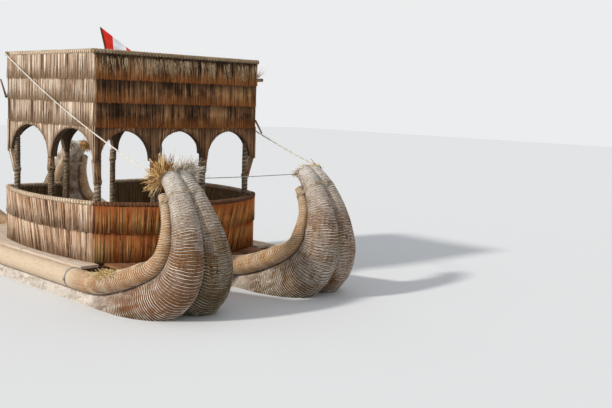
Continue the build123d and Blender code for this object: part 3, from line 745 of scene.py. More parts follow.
def loose_reed_finish(name, tones, top=None, low=None, patchy=0.8, starboard_shade=0.0):
    """Single dry reeds, each of its own tone, with stains drawn across them. Colours
    top and low tint the first and the last part of each reed."""
    made, tree, place = new_finish(name)
    tone, down = (put(tree, "ShaderNodeAttribute", attribute_name=label).outputs["Fac"]
                  for label in ("tone", "down"))
    patch = swing(tree, cloudy(tree, place, *LOOSE_NOISE), patchy)
    colour = ramp(tree, maths(tree, "ADD", tone, patch), LOOSE_TONES, tones)
    if top:
        colour = blend(tree, fade(tree, down, *TOP_TINT), colour, top)
    if low:
        colour = blend(tree, fade(tree, down, *LOW_TINT), colour, low)
    if starboard_shade:
        shade = fade(tree, split(tree, place)[1], *SHADE_ABEAM, starboard_shade, 0.0)
        colour = blend(tree, shade, colour, tones[0])
    set_look(tree, colour, 0.8)
    return made


def shaded_back_finish(name, tones):
    """The sheet behind the reeds, seen from inside: upright reeds, dull and dark, which is
    painted shade.
    """
    made, tree, place = new_finish(name)
    upright = streaks(tree, place, (75.0, 75.0, 2.0), 3.0)
    set_look(tree, ramp(tree, upright, STREAKS, tones), 0.9, upright, 0.8, 0.006)
    return made


brush_reed = loose_reed_finish("brush_straw", ((112, 66, 28), (226, 168, 92), (238, 212, 158)))
# near white: bleached reed, and brighter still as painted light on a tuft that lies in shade
lit_frayed_reed = loose_reed_finish("brush_frayed_lit",
                                ((164, 140, 108), (242, 228, 204), (254, 248, 236)))
# the core is dark as painted shade among the stalks
brush_core_shade = shaded_back_finish("brush_core_shade", ((52, 32, 16), (104, 68, 34), (150, 106, 60)))
brush_dice = np.random.default_rng(7)


def brush(end, hull, side):
    """Guides of the loose stalks at one bundle's end, and the dark core they hide, whose dark is
    painted shade among the stalks.
    """
    reach, curl, neck, head, count = BRUSHES[hull, side]
    x, z, a, _, _ = hull_line(end * HULL_END, side)
    across, lift = np.array((0.0, 1.0, 0.0)), np.array((-math.sin(a), 0.0, math.cos(a)))
    ahead = np.array((math.cos(a), 0.0, math.sin(a))) * end
    base = np.array((x, hull * (HULL_Y + side * BRUSH_OFF[side]), z)) - ahead * BRUSH_SUNK
    spot = np.sqrt(brush_dice.random(count))
    angle = brush_dice.random(count) * 2 * math.pi
    disc = np.cos(angle)[:, None] * across + np.sin(angle)[:, None] * lift
    starts = base + disc * (spot * neck)[:, None]
    far = brush_dice.random(count)
    reaches = reach[0] + (reach[1] - reach[0]) * brush_dice.random(count)
    spread = disc * (spot * (head - neck) * FLARE)[:, None] + brush_dice.normal(
        0, reach[1] * STRAY, (count, 3))
    ends = starts + ahead * reaches[:, None] + spread
    curls = curl[0] + (curl[1] - curl[0]) * far
    sways = lift * curls[:, None] + brush_dice.normal(0, reach[1] * SWAY, (count, 3))
    if side < 0:
        hang = FRAYED_HANG[hull] * brush_dice.random(count)
        sways += np.array((0.0, -hull, FRAYED_DROP)) * hang[:, None]
    thin = STALK * (0.7 + 0.8 * brush_dice.random(count))
    guides = reed_guides("brush", starts, ends, lift, thin, thin * STALK_FLATNESS,
                         brush_dice.random(count), sways)
    steps = np.linspace(0, CORE_REACH, CORE_RINGS)[:, None]
    middle = base + ahead * steps * np.mean(reach) + lift * steps ** 2 * np.mean(curl)
    girth = np.interp(steps[:, 0], (0, CORE_REACH), (neck * CORE_GIRTH[0], head * CORE_GIRTH[1]))
    core = reed_skin("core", (lengths_along(middle), middle, np.tile(across, (CORE_RINGS, 1)),
                              np.tile(lift, (CORE_RINGS, 1)), girth),
                     CORE_SIDES, brush_core_shade, swelling=0.012)
    return guides, core


for end, node in ((1, "prow_brushes"), (-1, "stern_brushes")):
    cores = []
    for side, finish, kind in ((1, brush_reed, "straw"), (-1, lit_frayed_reed, "frayed")):
        parts = []
        for hull in (1, -1):
            guides, core = brush(end, hull, side)
            parts.append(reeds("stalks", guides, finish, lengths=6))
            cores.append(core)
        show_all(node + "_" + kind, parts, (node,) if side > 0 else ())
    show_all(node + "_cores", cores)

# ---- Beams and boards ----
# Rough brown timbers cross the bundles and carry sawn boards. The decks ahead of and
# under the cabin are dry brown; the side planks and the aft deck are bleached grey.
WHOLE_TIMBER = 9.0      # no board is this wide, so a single timber keeps one tone


def timber_finish(name, tones, grain_along, plank=0.2):
    """Sawn or hewn wood: grain along X or Y, each board of its own tone, worn pale."""
    made, tree, place = new_finish(name)
    scales = (3.0, 70.0, 70.0) if grain_along == "X" else (70.0, 3.0, 70.0)
    grain = streaks(tree, place, scales, 5.0, 0.65)
    board = maths(tree, "FLOOR", maths(tree, "DIVIDE", split(tree, place)[1], plank))
    own = put(tree, "ShaderNodeTexWhiteNoise", {"W": board}, noise_dimensions="1D")
    tone = maths(tree, "ADD", grain, swing(tree, own.outputs["Value"], 0.22))
    colour = ramp(tree, tone, (0.28, 0.48, 0.72), tones)
    stain = cloudy(tree, place, 4.5, 5.0, 0.7)
    colour = blend(tree, fade(tree, stain, 0.55, 0.72, 0.0, 0.55), colour, tones[0])
    set_look(tree, colour, 0.85, grain, 0.5, 0.003)
    return made


def finish_node(node, finish):
    """Give a solid of the frame its material and leave its shape alone."""
    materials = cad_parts[node].data.materials
    materials.clear()
    materials.append(finish)


beam_wood = timber_finish("hewn_beam", ((58, 36, 22), (104, 66, 40), (146, 104, 70)), "Y",
                          WHOLE_TIMBER)
brown_board = timber_finish("brown_board", ((70, 44, 26), (122, 80, 50), (168, 124, 86)), "X")
grey_board = timber_finish("grey_board", ((132, 108, 86), (198, 176, 152), (222, 210, 196)),
                           "X", 0.225)
for node, wood in (("cross_beams", beam_wood), ("deck_cabin", brown_board),
                   ("deck_front", brown_board), ("deck_aft", grey_board),
                   ("side_plank_port", grey_board), ("side_plank_starboard", grey_board)):
    finish_node(node, wood)

# ---- Lower mats ----
# Waist-high mats of upright reeds, sewn in two rows, bow out over the deck's edge. Each
# row is two reeds deep on a sheet painted dark as shade; the frayed foot of the upper one
# laps the lower.
CABIN_X, CABIN_HALF_L, CABIN_HALF_W = 0.500, 1.343, 1.464
DECK_TOP, LOW_SEAM, RIM_HEIGHT = 0.980, 1.410, 1.790
FRONT_BOW, SIDE_BOW = (0.470, 0.700), (0.140, 0.250)   # bow at the deck and at the rim
FRONT_SPAN, SIDE_SPAN = 3.36, 2.76      # length of each bowed mat round its bow
UPPER_ROW_STEP = 0.012
LOW_WALL = 0.038
DOOR_HALF = 0.493
REED_PITCH = 0.0095
REED_HALF_WIDTH = 0.0052
REED_FLATNESS = 0.45
REED_LAYERS = 2
LAYER_STEP = 0.0035
ROW_PROUD, ROW_UNEVEN = 0.0015, 0.002   # how far a row's reeds stand off their sheet
FOOT_UNEVEN, HEAD_UNEVEN = 0.003, 0.012
ROW_LEAN, ROW_SWAY = 0.006, 0.004
RAGGED = 0.016          # how far the feet of a row's reeds differ
CLUMP = 4               # reeds that share a tone
OWN_TONE = 0.65         # and how much of it is each reed's own
mat_dice = np.random.default_rng(21)


def bowed_face(board, t, height, proud):
    """Points and outward directions on a bowed mat, t from -1 to 1 along it."""
    half, (low, high) = ((CABIN_HALF_W, FRONT_BOW) if board == "front"
                         else (CABIN_HALF_L, SIDE_BOW))
    bow = low + (high - low) * (height - DECK_TOP) / (RIM_HEIGHT - DECK_TOP)
    radius = (half ** 2 + bow ** 2) / (2 * bow)
    angle = t * np.arcsin(half / radius)
    along = (radius + proud) * np.sin(angle)
    off = bow - radius + (radius + proud) * np.cos(angle)
    flat = np.zeros_like(angle)
    if board == "front":
        return (np.stack([CABIN_X + CABIN_HALF_L + off, -along, height + flat], axis=-1),
                np.stack([np.cos(angle), -np.sin(angle), flat], axis=-1))
    hand = 1 if board == "port" else -1
    return (np.stack([CABIN_X + along, hand * (CABIN_HALF_W + off), height + flat], axis=-1),
            np.stack([np.sin(angle), hand * np.cos(angle), flat], axis=-1))


def flat_face(board, t, height, proud):
    """The same on an upright side of the cabin."""
    t, height, proud = np.broadcast_arrays(np.asarray(t, float), height, proud)
    flat = np.zeros_like(t)
    if board in ("front", "rear"):
        hand = 1 if board == "front" else -1
        return (np.stack([CABIN_X + hand * (CABIN_HALF_L + proud), t * CABIN_HALF_W, height],
                         axis=-1), np.stack([flat + hand, flat, flat], axis=-1))
    hand = 1 if board == "port" else -1
    return (np.stack([CABIN_X + t * CABIN_HALF_L, hand * (CABIN_HALF_W + proud), height],
                     axis=-1), np.stack([flat, flat + hand, flat], axis=-1))


def clumped_tones(count):
    """Tones that neighbours partly share, because reeds bleach in clumps."""
    clumps = mat_dice.random(count // CLUMP + 3)
    shared = np.interp(np.arange(count) / CLUMP, np.arange(len(clumps)), clumps)
    return (1 - OWN_TONE) * shared + OWN_TONE * mat_dice.random(count)


def reed_widths(count):
    """Half widths of so many reeds, thick and thin ones mixed."""
    return REED_HALF_WIDTH * (0.6 + 0.9 * mat_dice.random(count))


def reed_row(face, board, top, foot, span, finish, t_range=(-1, 1), proud=(0.0, 0.0)):
    """A row of mat: reeds from the height top down to about the height foot. They stand
    the first of proud off the mat's face, and their feet the second of it more."""
    starts, ends, outs, tones = [], [], [], []
    for layer in range(REED_LAYERS):
        count = int(span / REED_PITCH)
        t = t_range[0] + (t_range[1] - t_range[0]) * (
            np.arange(count) + mat_dice.random(count)) / count
        lift = (proud[0] + ROW_PROUD + LAYER_STEP * layer
                + ROW_UNEVEN * mat_dice.random(count))
        flare = proud[1] + lift + FOOT_UNEVEN * mat_dice.random(count)
        lean = mat_dice.normal(0, ROW_LEAN, count) / (span / 2)
        low = (np.full(count, foot) - RAGGED * mat_dice.random(count) ** 2
               + RAGGED * 0.4 * layer)
        high = top + HEAD_UNEVEN * mat_dice.random(count)
        heads, out = face(board, t, high, lift)
        feet, _ = face(board, t + lean, low, flare)
        starts.append(heads)
        ends.append(feet)
        outs.append(out)
        tones.append(clumped_tones(count))
    starts, ends, outs = np.vstack(starts), np.vstack(ends), np.vstack(outs)
    count = len(starts)
    width = reed_widths(count)
    sways = mat_dice.normal(0, ROW_SWAY, (count, 3)) + outs * (
        ROW_SWAY * mat_dice.random(count) ** 4)[:, None]
    guides = reed_guides("row", starts, ends, outs, width, width * REED_FLATNESS,
                         np.concatenate(tones), sways)
    return reeds("row", guides, finish, lengths=2, tip=0.75)


tan_reed = loose_reed_finish("mat_low_side", ((98, 62, 42), (192, 148, 111), (234, 216, 192)))
# bright orange: the reed's colour raised as painted warm light on the shaded bow side; the
# starboard shade is painted shade
lit_orange_reed = loose_reed_finish("mat_low_front",
                                ((104, 44, 14), (255, 158, 72), (255, 230, 156)),
                                top=(205, 116, 54), starboard_shade=0.52)
# the sheets behind the lower mats are dark as painted shade
low_back_shade = shaded_back_finish("mat_low_back_shade", ((58, 46, 32), (112, 92, 64), (150, 128, 92)))
for board in ("front", "port", "starboard", "rear_port", "rear_starboard"):
    finish_node("lower_wall_" + board, low_back_shade)

LOW_ROWS = ((LOW_SEAM + 0.015, DECK_TOP + 0.012, 0.0),
            (RIM_HEIGHT, LOW_SEAM + 0.002, UPPER_ROW_STEP))    # top, foot, how far proud
for board, span, finish in (("front", FRONT_SPAN, lit_orange_reed), ("port", SIDE_SPAN, tan_reed),
                            ("starboard", SIDE_SPAN, tan_reed)):
    show_all("low_mat_" + board,
             [reed_row(bowed_face, board, top, foot, span, finish, proud=(step, 0.001))
              for top, foot, step in LOW_ROWS])
for hand, board in ((1, "port"), (-1, "starboard")):
    ends = sorted((hand * DOOR_HALF / CABIN_HALF_W, hand * 1.0))
    show_all("low_mat_rear_" + board,
             [reed_row(flat_face, "rear", top, foot, CABIN_HALF_W - DOOR_HALF, tan_reed,
                       t_range=ends, proud=(LOW_WALL + step, 0.004))
              for top, foot, step in LOW_ROWS])

# ---- Rims of the lower mats ----
# A thin roll of pale reed, bound with cord, edges the top of each lower mat. On the
# bow side the roll and its cord are darker brown copies of the pale ones: painted shade.
RIM = 0.035
RIM_CORD_PITCH = 0.055
RIM_CORD = 0.0024


def round_run(points, hint, girth):
    """Frame of a roll that follows points: one direction across it and one up."""
    points = np.array(points)
    ahead = np.gradient(points, axis=0)
    ahead /= np.linalg.norm(ahead, axis=1)[:, None]
    across = np.cross(np.tile(hint, (len(points), 1)), ahead)
    across /= np.linalg.norm(across, axis=1)[:, None]
    return (lengths_along(points), points, across, np.cross(ahead, across),
            np.full(len(points), girth))


def bound_roll(points, girth, finish, cord_paint, pitch, cord, hint=(0, 0, 1), sides=14,
               swelling=0.003):
    """Skin and winding of a slim roll of reed."""
    run = round_run(points, hint, girth)
    skin = reed_skin("roll", run, sides, finish, swelling=swelling)
    return skin, wind("roll_cord", run, pitch, cord, cord_paint, steps=12, lift=0.001,
                      uneven=0.004)


def show_rolls(name, windings, rolls, replaced=()):
    """Bound rolls of one finish as two pieces, the reed and the cord."""
    skins, cords = zip(*rolls)
    show_all(name, skins, replaced)
    show_all(windings, cords)


def edge_finish(name, *tones):
    """Reed of a rim or rail under its cord."""
    return bound_reed_finish(name, (*tones, tones[-1]), RIM_CORD_PITCH, 2 * math.pi * RIM,
                             reed=0.007)


pale_edge = edge_finish("rim_pale", (160, 130, 100), (224, 200, 170), (240, 228, 208))
# the bow side's rim reed and cord are darker copies: painted shade
brown_shaded_edge = edge_finish("rim_brown_shaded", (70, 40, 24), (122, 76, 48), (158, 112, 78))
edge_cord = cord_finish("edge_cord", (216, 200, 172), (150, 120, 86))
shaded_cord = cord_finish("shaded_cord", (150, 116, 84), (92, 62, 40))


def rim_points(board, margin=0.020):
    """Line of a bowed rim over the middle of its mat's top edge."""
    t = np.linspace(-1 + margin, 1 - margin, 60)
    points, _ = bowed_face(board, t, RIM_HEIGHT,
                           UPPER_ROW_STEP - (LOW_WALL + UPPER_ROW_STEP) / 2)
    points[:, 2] = RIM_HEIGHT + RIM + SEAT
    return points


REAR_RIM_X = CABIN_X - CABIN_HALF_L - RIM - 0.002
rear_rims = [[(REAR_RIM_X, hand * y, RIM_HEIGHT + RIM + SEAT)
              for y in np.linspace(DOOR_HALF, CABIN_HALF_W, 14)] for hand in (1, -1)]
for node, lines, finish, cord in (
        ("rim_front", [rim_points("front", 0.0)], brown_shaded_edge, shaded_cord),
        ("rims_side", [rim_points("port"), rim_points("starboard")], pale_edge, edge_cord),
        ("rims_rear", rear_rims, pale_edge, edge_cord)):
    show_rolls(node + "_reeds", node + "_windings",
               [bound_roll(line, RIM, finish, cord, RIM_CORD_PITCH, RIM_CORD)
                for line in lines], (node,))

# ---- Posts ----
# Poles wrapped in upright reed, with a hoop of cord every few inches. They stand on
# the deck at the corners and between the arches.
POST = 0.048
HOOP_PITCH = 0.062
HOOP_CORD = 0.0032
CORNER_TOP, PIER_TOP = 3.872, 2.400
POST_RING_STEP = 0.12
POSTS = {               # where they stand, and their top
    "posts_corner": ([(CABIN_X + i * 1.234, j * 1.355) for i in (1, -1) for j in (1, -1)],
                     CORNER_TOP),
    "posts_front": ([(CABIN_X + 1.293, j * 0.445) for j in (1, -1)], PIER_TOP),
    "posts_rear": ([(CABIN_X - 1.293, j * 0.445) for j in (1, -1)], PIER_TOP),
    "posts_side": ([(CABIN_X, j * 1.414) for j in (1, -1)], PIER_TOP)}
post_reed = bound_reed_finish(
    "post_reed", ((64, 46, 32), (132, 104, 78), (190, 164, 132), (206, 190, 164)),
    HOOP_PITCH, 2 * math.pi * POST, reed=0.009)
post_cord = cord_finish("post_cord", (222, 206, 178), (120, 92, 66))
for node, (places, top) in POSTS.items():
    heights = np.linspace(DECK_TOP, top, max(6, int((top - DECK_TOP) / POST_RING_STEP)))
    show_rolls(node + "_reeds", node + "_hoops",
               [bound_roll([(x, y, z) for z in heights], POST, post_reed, post_cord,
                           HOOP_PITCH, HOOP_CORD, hint=(0, 1, 0), sides=18, swelling=0.004)
                for x, y in places], (node,))

# ---- Upper mats ----
# Four rows of upright reeds hang on each side of the cabin. The lowest is cut to the
# round arches, and between them its reeds draw in to the posts. The bow side is darker,
# and darkest at the top of each row, as painted shade, and orange at its foot; the other
# sides are bleached.
WALL_HEIGHT = 3.912
ROW_FEET = (3.574, 3.248, 2.900)
ROW_STEP = 0.008
ROW_LAP = 0.015         # each row's reeds start this far above the foot of the row above
ROW_HANG = 0.006
PIER_FOOT = 2.400
ARCH_HEIGHT = 2.410
END_ARCHES = ((-0.945, 0.0, 0.945), 0.430, 0.430)      # middles, half width and rise
SIDE_ARCHES = ((-0.650, 0.650), 0.600, 0.450)
PIER_FOCUS = 1.55       # height that the reeds of a pier point to
PIER_DRAW, CORNER_DRAW = 0.75, 0.45     # how far they turn to it
CUT_STEP = 0.008
WALL_THICK = 0.060


def cut_foot(places, half_wide, rise, pier, start, draw):
    """Follow a reed of a pier down until it meets an arch or the pier's foot, and say
    how far along the wall, and how high, it ends."""
    low = ROW_FEET[2]
    top = low + ROW_LAP
    while low > PIER_FOOT + 0.004:
        low -= CUT_STEP
        along = start + (pier - start) * draw * (top - low) / (top - PIER_FOCUS)
        if low < ARCH_HEIGHT:
            if any(abs(along - p) < half_wide for p in places):
                break
        elif any(((along - p) / half_wide) ** 2 + ((low - ARCH_HEIGHT) / rise) ** 2 < 1
                 for p in places):
            break
    return along, low


def arch_row(board, span, finish):
    """The lowest row: each reed heads for its pier's foot and stops at the arch."""
    places, half_wide, rise = END_ARCHES if board in ("front", "rear") else SIDE_ARCHES
    half = CABIN_HALF_W if board in ("front", "rear") else CABIN_HALF_L
    piers = [-half] + [(a + b) / 2 for a, b in zip(places, places[1:])] + [half]
    starts, ends, tones = [], [], []
    for layer in range(REED_LAYERS):
        count = int(span / REED_PITCH)
        heads = -half + 2 * half * (np.arange(count) + mat_dice.random(count)) / count
        for head, tone in zip(heads, clumped_tones(count)):
            pier = min(piers, key=lambda p: abs(p - head))
            draw = PIER_DRAW if abs(pier) < half else CORNER_DRAW
            foot, low = cut_foot(places, half_wide, rise, pier, head, draw)
            proud = (-3 * ROW_STEP + ROW_PROUD + LAYER_STEP * layer
                     + ROW_UNEVEN * mat_dice.random())
            if board in ("port", "starboard") and abs(head) > half - WALL_THICK:
                proud += 3 * ROW_STEP
            start, out = flat_face(board, head / half, ROW_FEET[2] + ROW_LAP, proud)
            end, _ = flat_face(board, foot / half, low + ROW_HANG * mat_dice.random(),
                               proud + FOOT_UNEVEN)
            starts.append(start)
            ends.append(end)
            tones.append(tone)
    starts, ends = np.array(starts), np.array(ends)
    count = len(starts)
    width = reed_widths(count)
    guides = reed_guides("row", starts, ends, out, width, width * REED_FLATNESS, tones,
                         mat_dice.normal(0, ROW_SWAY / 2, (count, 3)))
    return reeds("row", guides, finish, lengths=2, tip=0.8)


bleached = loose_reed_finish("mat_bleached", ((84, 58, 42), (184, 150, 120), (238, 224, 204)),
                             low=(194, 154, 116))
# darker than the other sides and darkest at the top of each row: painted shade
bow_shaded = loose_reed_finish("mat_bow_shaded", ((44, 28, 18), (146, 98, 58), (216, 168, 116)),
                          top=(52, 38, 30), low=(210, 130, 64), patchy=2.2)
# brown of the bow side's arch row and fans, darker as painted shade
arch_brown_shaded = loose_reed_finish("mat_arch_brown_shaded",
                               ((70, 46, 30), (152, 106, 70), (206, 164, 122)),
                               top=(98, 68, 46))
# the sheets behind the upper mats are dark as painted shade
upper_back_shade = shaded_back_finish("mat_upper_back_shade", ((44, 34, 26), (88, 70, 52), (124, 104, 78)))
for board, span, finish, arch_finish in (
        ("front", 2 * CABIN_HALF_W, bow_shaded, arch_brown_shaded),
        ("rear", 2 * CABIN_HALF_W, bleached, bleached),
        ("port", 2 * CABIN_HALF_L, bleached, bleached),
        ("starboard", 2 * CABIN_HALF_L, bleached, bleached)):
    finish_node("upper_wall_" + board, upper_back_shade)
    rows = []
    for i, (top, foot) in enumerate(zip((WALL_HEIGHT,) + ROW_FEET, ROW_FEET)):
        rows.append(reed_row(flat_face, board, top + (0.0 if i == 0 else ROW_LAP),
                             foot - ROW_HANG, span, finish, proud=(-i * ROW_STEP, 0.002)))
    show_all("upper_mat_" + board, rows)
    show("arch_mat_" + board, arch_row(board, span, arch_finish))

# the arch bands take the dark sheet colour: painted shade
for node in ("arch_bands_ends", "arch_bands_sides"):
    finish_node(node, upper_back_shade)

# ---- Feet of the piers ----
# Below each pier its reeds are gathered round the post and bound to it with cord, so
# that the mat ends in a tapering fan. Those at the corners reach lower.
FANS = {                # by posts: middle and half size of the pier, and the fan's foot
    "posts_corner": ((1.291, 1.419), (0.040, 0.042), 2.105),
    "posts_front": ((1.304, 0.472), (0.020, 0.041), 2.230),
    "posts_rear": ((1.304, 0.472), (0.020, 0.041), 2.230),
    "posts_side": ((0.000, 1.422), (0.048, 0.020), 2.210)}
FAN_TOP = 2.440
FAN_REEDS = 96
FAN_CORD = 0.0034
FAN_CORD_PITCH = 0.008
FAN_UNEVEN, FAN_RAGGED = 0.004, 0.035
FAN_CORD_FROM, FAN_CORD_TO = 0.010, 0.040       # heights of the cord over the fan's foot
FAN_OFF_POST, CONE_OFF_POST, CORD_OFF_POST = 0.006, 0.004, 0.012
CONE_SUNK = 0.02        # the cone under the reeds starts this far below their tops,
CONE_INSIDE = 0.002     # and this far inside the pier all round
FACING_BOW = 0.6        # reeds that face forward more than this get the bow side's brown, painted shade
CONE_RINGS, CONE_SIDES = 6, 32


def fan_cone(post, middle, half, foot):
    """Solid under a fan's reeds, from the pier's square foot to the round post."""
    rings, faces = [], []
    for share in np.linspace(0, 1, CONE_RINGS):
        for angle in np.linspace(0, 2 * math.pi, CONE_SIDES, endpoint=False):
            way = np.array((math.cos(angle), math.sin(angle)))
            corner = middle + way / np.abs(way).max() * (np.array(half) - CONE_INSIDE)
            spot = corner + (post + way * (POST + CONE_OFF_POST) - corner) * share
            rings.append((*spot, FAN_TOP - CONE_SUNK + (foot - FAN_TOP + CONE_SUNK) * share))
    for i in range(CONE_RINGS - 1):
        above, below = i * CONE_SIDES, (i + 1) * CONE_SIDES
        for j in range(CONE_SIDES):
            k = (j + 1) % CONE_SIDES
            faces.append((above + j, below + j, below + k, above + k))
    faces.append(tuple(range(CONE_SIDES)))
    faces.append(tuple(range(CONE_RINGS * CONE_SIDES - 1, (CONE_RINGS - 1) * CONE_SIDES - 1, -1)))
    return mesh_from("cone", rings, faces)


def fan(post, middle, half, foot):
    """Ends and outward directions of one fan's reeds, and the cord at its foot."""
    turn = 2 * math.pi * (np.arange(FAN_REEDS) + mat_dice.random(FAN_REEDS)) / FAN_REEDS
    round_it = np.stack([np.cos(turn), np.sin(turn)], axis=1)
    square = round_it / np.abs(round_it).max(axis=1)[:, None]
    layer = FAN_UNEVEN * mat_dice.random(FAN_REEDS)[:, None]
    top = np.c_[middle + square * (np.array(half) + layer), np.full(FAN_REEDS, FAN_TOP)]
    low = np.c_[post + round_it * (POST + FAN_OFF_POST + layer),
                foot - FAN_RAGGED * mat_dice.random(FAN_REEDS) ** 2]
    heights = np.linspace(foot + FAN_CORD_FROM, foot + FAN_CORD_TO, 6)
    run = round_run([(*post, z) for z in heights], (0, 1, 0), POST + CORD_OFF_POST)
    cord = wind("cord", run, FAN_CORD_PITCH, FAN_CORD, post_cord)
    return top, low, np.c_[round_it, np.zeros(FAN_REEDS)], cord


bow_shaded_fans, pale_fans, cones, cords = [], [], [], []
for node, (middle, half, foot) in FANS.items():
    for x, y in POSTS[node][0]:
        hands = np.array((math.copysign(1, x - CABIN_X), math.copysign(1, y)))
        post, centre = np.array((x, y)), np.array((CABIN_X, 0)) + hands * middle
        top, low, outward, cord = fan(post, centre, half, foot)
        cone = fan_cone(post, centre, half, foot)
        # the cone under each fan is dark as painted shade between its reeds
        cone.materials.append(upper_back_shade)
        cones.append(cone)
        cords.append(cord)
        width = reed_widths(FAN_REEDS)
        tones = clumped_tones(FAN_REEDS)
        ahead = (outward[:, 0] > FACING_BOW) if hands[0] > 0 else np.zeros(FAN_REEDS, bool)
        for chosen, fans in ((ahead, bow_shaded_fans), (~ahead, pale_fans)):
            if chosen.any():
                fans.append([part[chosen] for part in (top, low, outward, width, tones)])
for kind, fans, finish in (("bow_shaded", bow_shaded_fans, arch_brown_shaded), ("pale", pale_fans, bleached)):
    top, low, outward, width, tones = (np.concatenate(part) for part in zip(*fans))
    guides = reed_guides("fans", top, low, outward, width, width * REED_FLATNESS, tones,
                         mat_dice.normal(0, ROW_SWAY / 2, top.shape))
    show("pier_fans_" + kind, reeds("pier_fans_" + kind, guides, finish, lengths=2, tip=0.7))
show_all("pier_cones", cones)
show_all("pier_cords", cords)

# ---- Curled reed ends on the bow side ----
# Along the top of the bow side broken ends of the topmost row hang out over it, in
# clumps. They are bleached paler than the row behind them, and paler still as painted light
# on the shaded bow side.
FRAY_COUNT = 460
FRAY_CLUMPS = 120
FRAY_HALF_WIDTH, FRAY_HALF_THICK = 0.0042, 0.0022
FRAY_LENGTHS = (0.07, 0.17)     # shortest, and how much longer the longest is
FRAY_PROUD = (0.008, 0.014)     # at the root and at the tip
# pale: bleached reed, and painted light on the shaded bow side
lit_white_reed = loose_reed_finish("bleached_lit_ends",
                               ((96, 66, 38), (196, 156, 112), (246, 224, 188)))


def frayed_ends():
    """Guides of the broken ends: where each starts, hangs to and curls."""
    clump_at = -0.98 + 1.96 * mat_dice.random(FRAY_CLUMPS)
    t = np.clip(mat_dice.choice(clump_at, FRAY_COUNT) + mat_dice.normal(0, 0.012, FRAY_COUNT),
                -0.99, 0.99)
    high = WALL_HEIGHT - 0.02 - 0.05 * mat_dice.random(FRAY_COUNT)
    length = FRAY_LENGTHS[0] + FRAY_LENGTHS[1] * mat_dice.random(FRAY_COUNT)
    roots, out = flat_face("front", t, high, FRAY_PROUD[0])
    tips, _ = flat_face("front", t + mat_dice.normal(0, 0.010, FRAY_COUNT), high - length,
                        FRAY_PROUD[1])
    tones = mat_dice.random(FRAY_COUNT)
    curls = (out * (0.022 * mat_dice.random(FRAY_COUNT))[:, None]
             + mat_dice.normal(0, 0.009, (FRAY_COUNT, 3)) * (0.4, 1.0, 0.4))
    return reed_guides("fray", roots, tips, out, FRAY_HALF_WIDTH, FRAY_HALF_THICK, tones,
                       curls)


show("curled_ends_front",
     reeds("curled_ends_front", frayed_ends(), lit_white_reed, lengths=4, tip=0.4))

# ---- Top rail ----
# A bound roll of reed lies along the top edge of each upper mat: pale over the two
# sides, and painted brown as shade over the bow and stern mats, whose rolls run past them.
RAIL = 0.034
RAIL_HEIGHT = WALL_HEIGHT + RAIL + SEAT
RAIL_PROUD = 0.008
RAIL_X, RAIL_Y = CABIN_HALF_L - RAIL + RAIL_PROUD, CABIN_HALF_W - RAIL + RAIL_PROUD
RAIL_END = 1.500
SIDE_RAIL_END = RAIL_X - RAIL - SEAT
# the end rails are a brown copy of the pale rail reed: painted shade
brown_shaded_rail = edge_finish("rail_brown_shaded", (104, 80, 56), (176, 146, 110), (214, 190, 154))
end_rails = [bound_roll([(CABIN_X + i * RAIL_X, y, RAIL_HEIGHT)
                         for y in np.linspace(-RAIL_END, RAIL_END, 40)], RAIL,
                        brown_shaded_rail, edge_cord, RIM_CORD_PITCH, RIM_CORD) for i in (1, -1)]
side_rails = [bound_roll([(CABIN_X + x, j * RAIL_Y, RAIL_HEIGHT)
                          for x in np.linspace(-SIDE_RAIL_END, SIDE_RAIL_END, 36)], RAIL,
                         pale_edge, edge_cord, RIM_CORD_PITCH, RIM_CORD) for j in (1, -1)]
show_all("top_rail_sides", [r[0] for r in side_rails], ("top_rail",))
show_all("top_rail_ends", [r[0] for r in end_rails])
show_all("top_rail_windings", [r[1] for r in side_rails + end_rails])

# ---- Upper deck ----
# Timber joists lie on the inner bands of the arches and carry a brown floor, with a
# hatch left open in it for the way up. The high mats round it are its parapet.
finish_node("upper_joists", beam_wood)
finish_node("upper_floor", brown_board)

# ---- Stays ----
# A three-strand rope runs from each aft top corner of the cabin to the outer brush of
# the prow on its own side.
STAY = 0.008
STAY_STRAND = 0.0058
STRANDS = 3
STRAND_OFF = 0.0030
STAY_LAY = 0.060
STAY_SAG = 0.100
STAY_FROM = (CABIN_X - 1.317, RAIL_END + STAY + SEAT, 3.9463)
white_rope = cord_finish("stay_rope", (242, 238, 228), (206, 196, 178))


def stay_line(hand):
    """The stay's slight sag, from the end of the rail to the brush."""
    low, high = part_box("stay_port")
    begin = np.array(STAY_FROM)
    end = np.array((high[0], high[1] - STAY, low[2] + STAY))
    t = np.linspace(0, 1, 50)[:, None]
    line = begin + (end - begin) * t - np.array((0, 0, 1)) * 4 * t * (1 - t) * STAY_SAG
    return line * (1, hand, 1)


for hand, board in ((1, "port"), (-1, "starboard")):
    strands = []
    for strand in range(STRANDS):
        gone, points, across, up, girth = round_run(stay_line(hand), (0, 1, 0), 0.0)
        run = (gone + strand * STAY_LAY / STRANDS, points, across, up, girth)
        strands.append(wind("strand", run, STAY_LAY, STAY_STRAND, white_rope, steps=10,
                            lift=STRAND_OFF, uneven=0.0))
    show_all("stay_%s_rope" % board, strands, ("stay_" + board,))

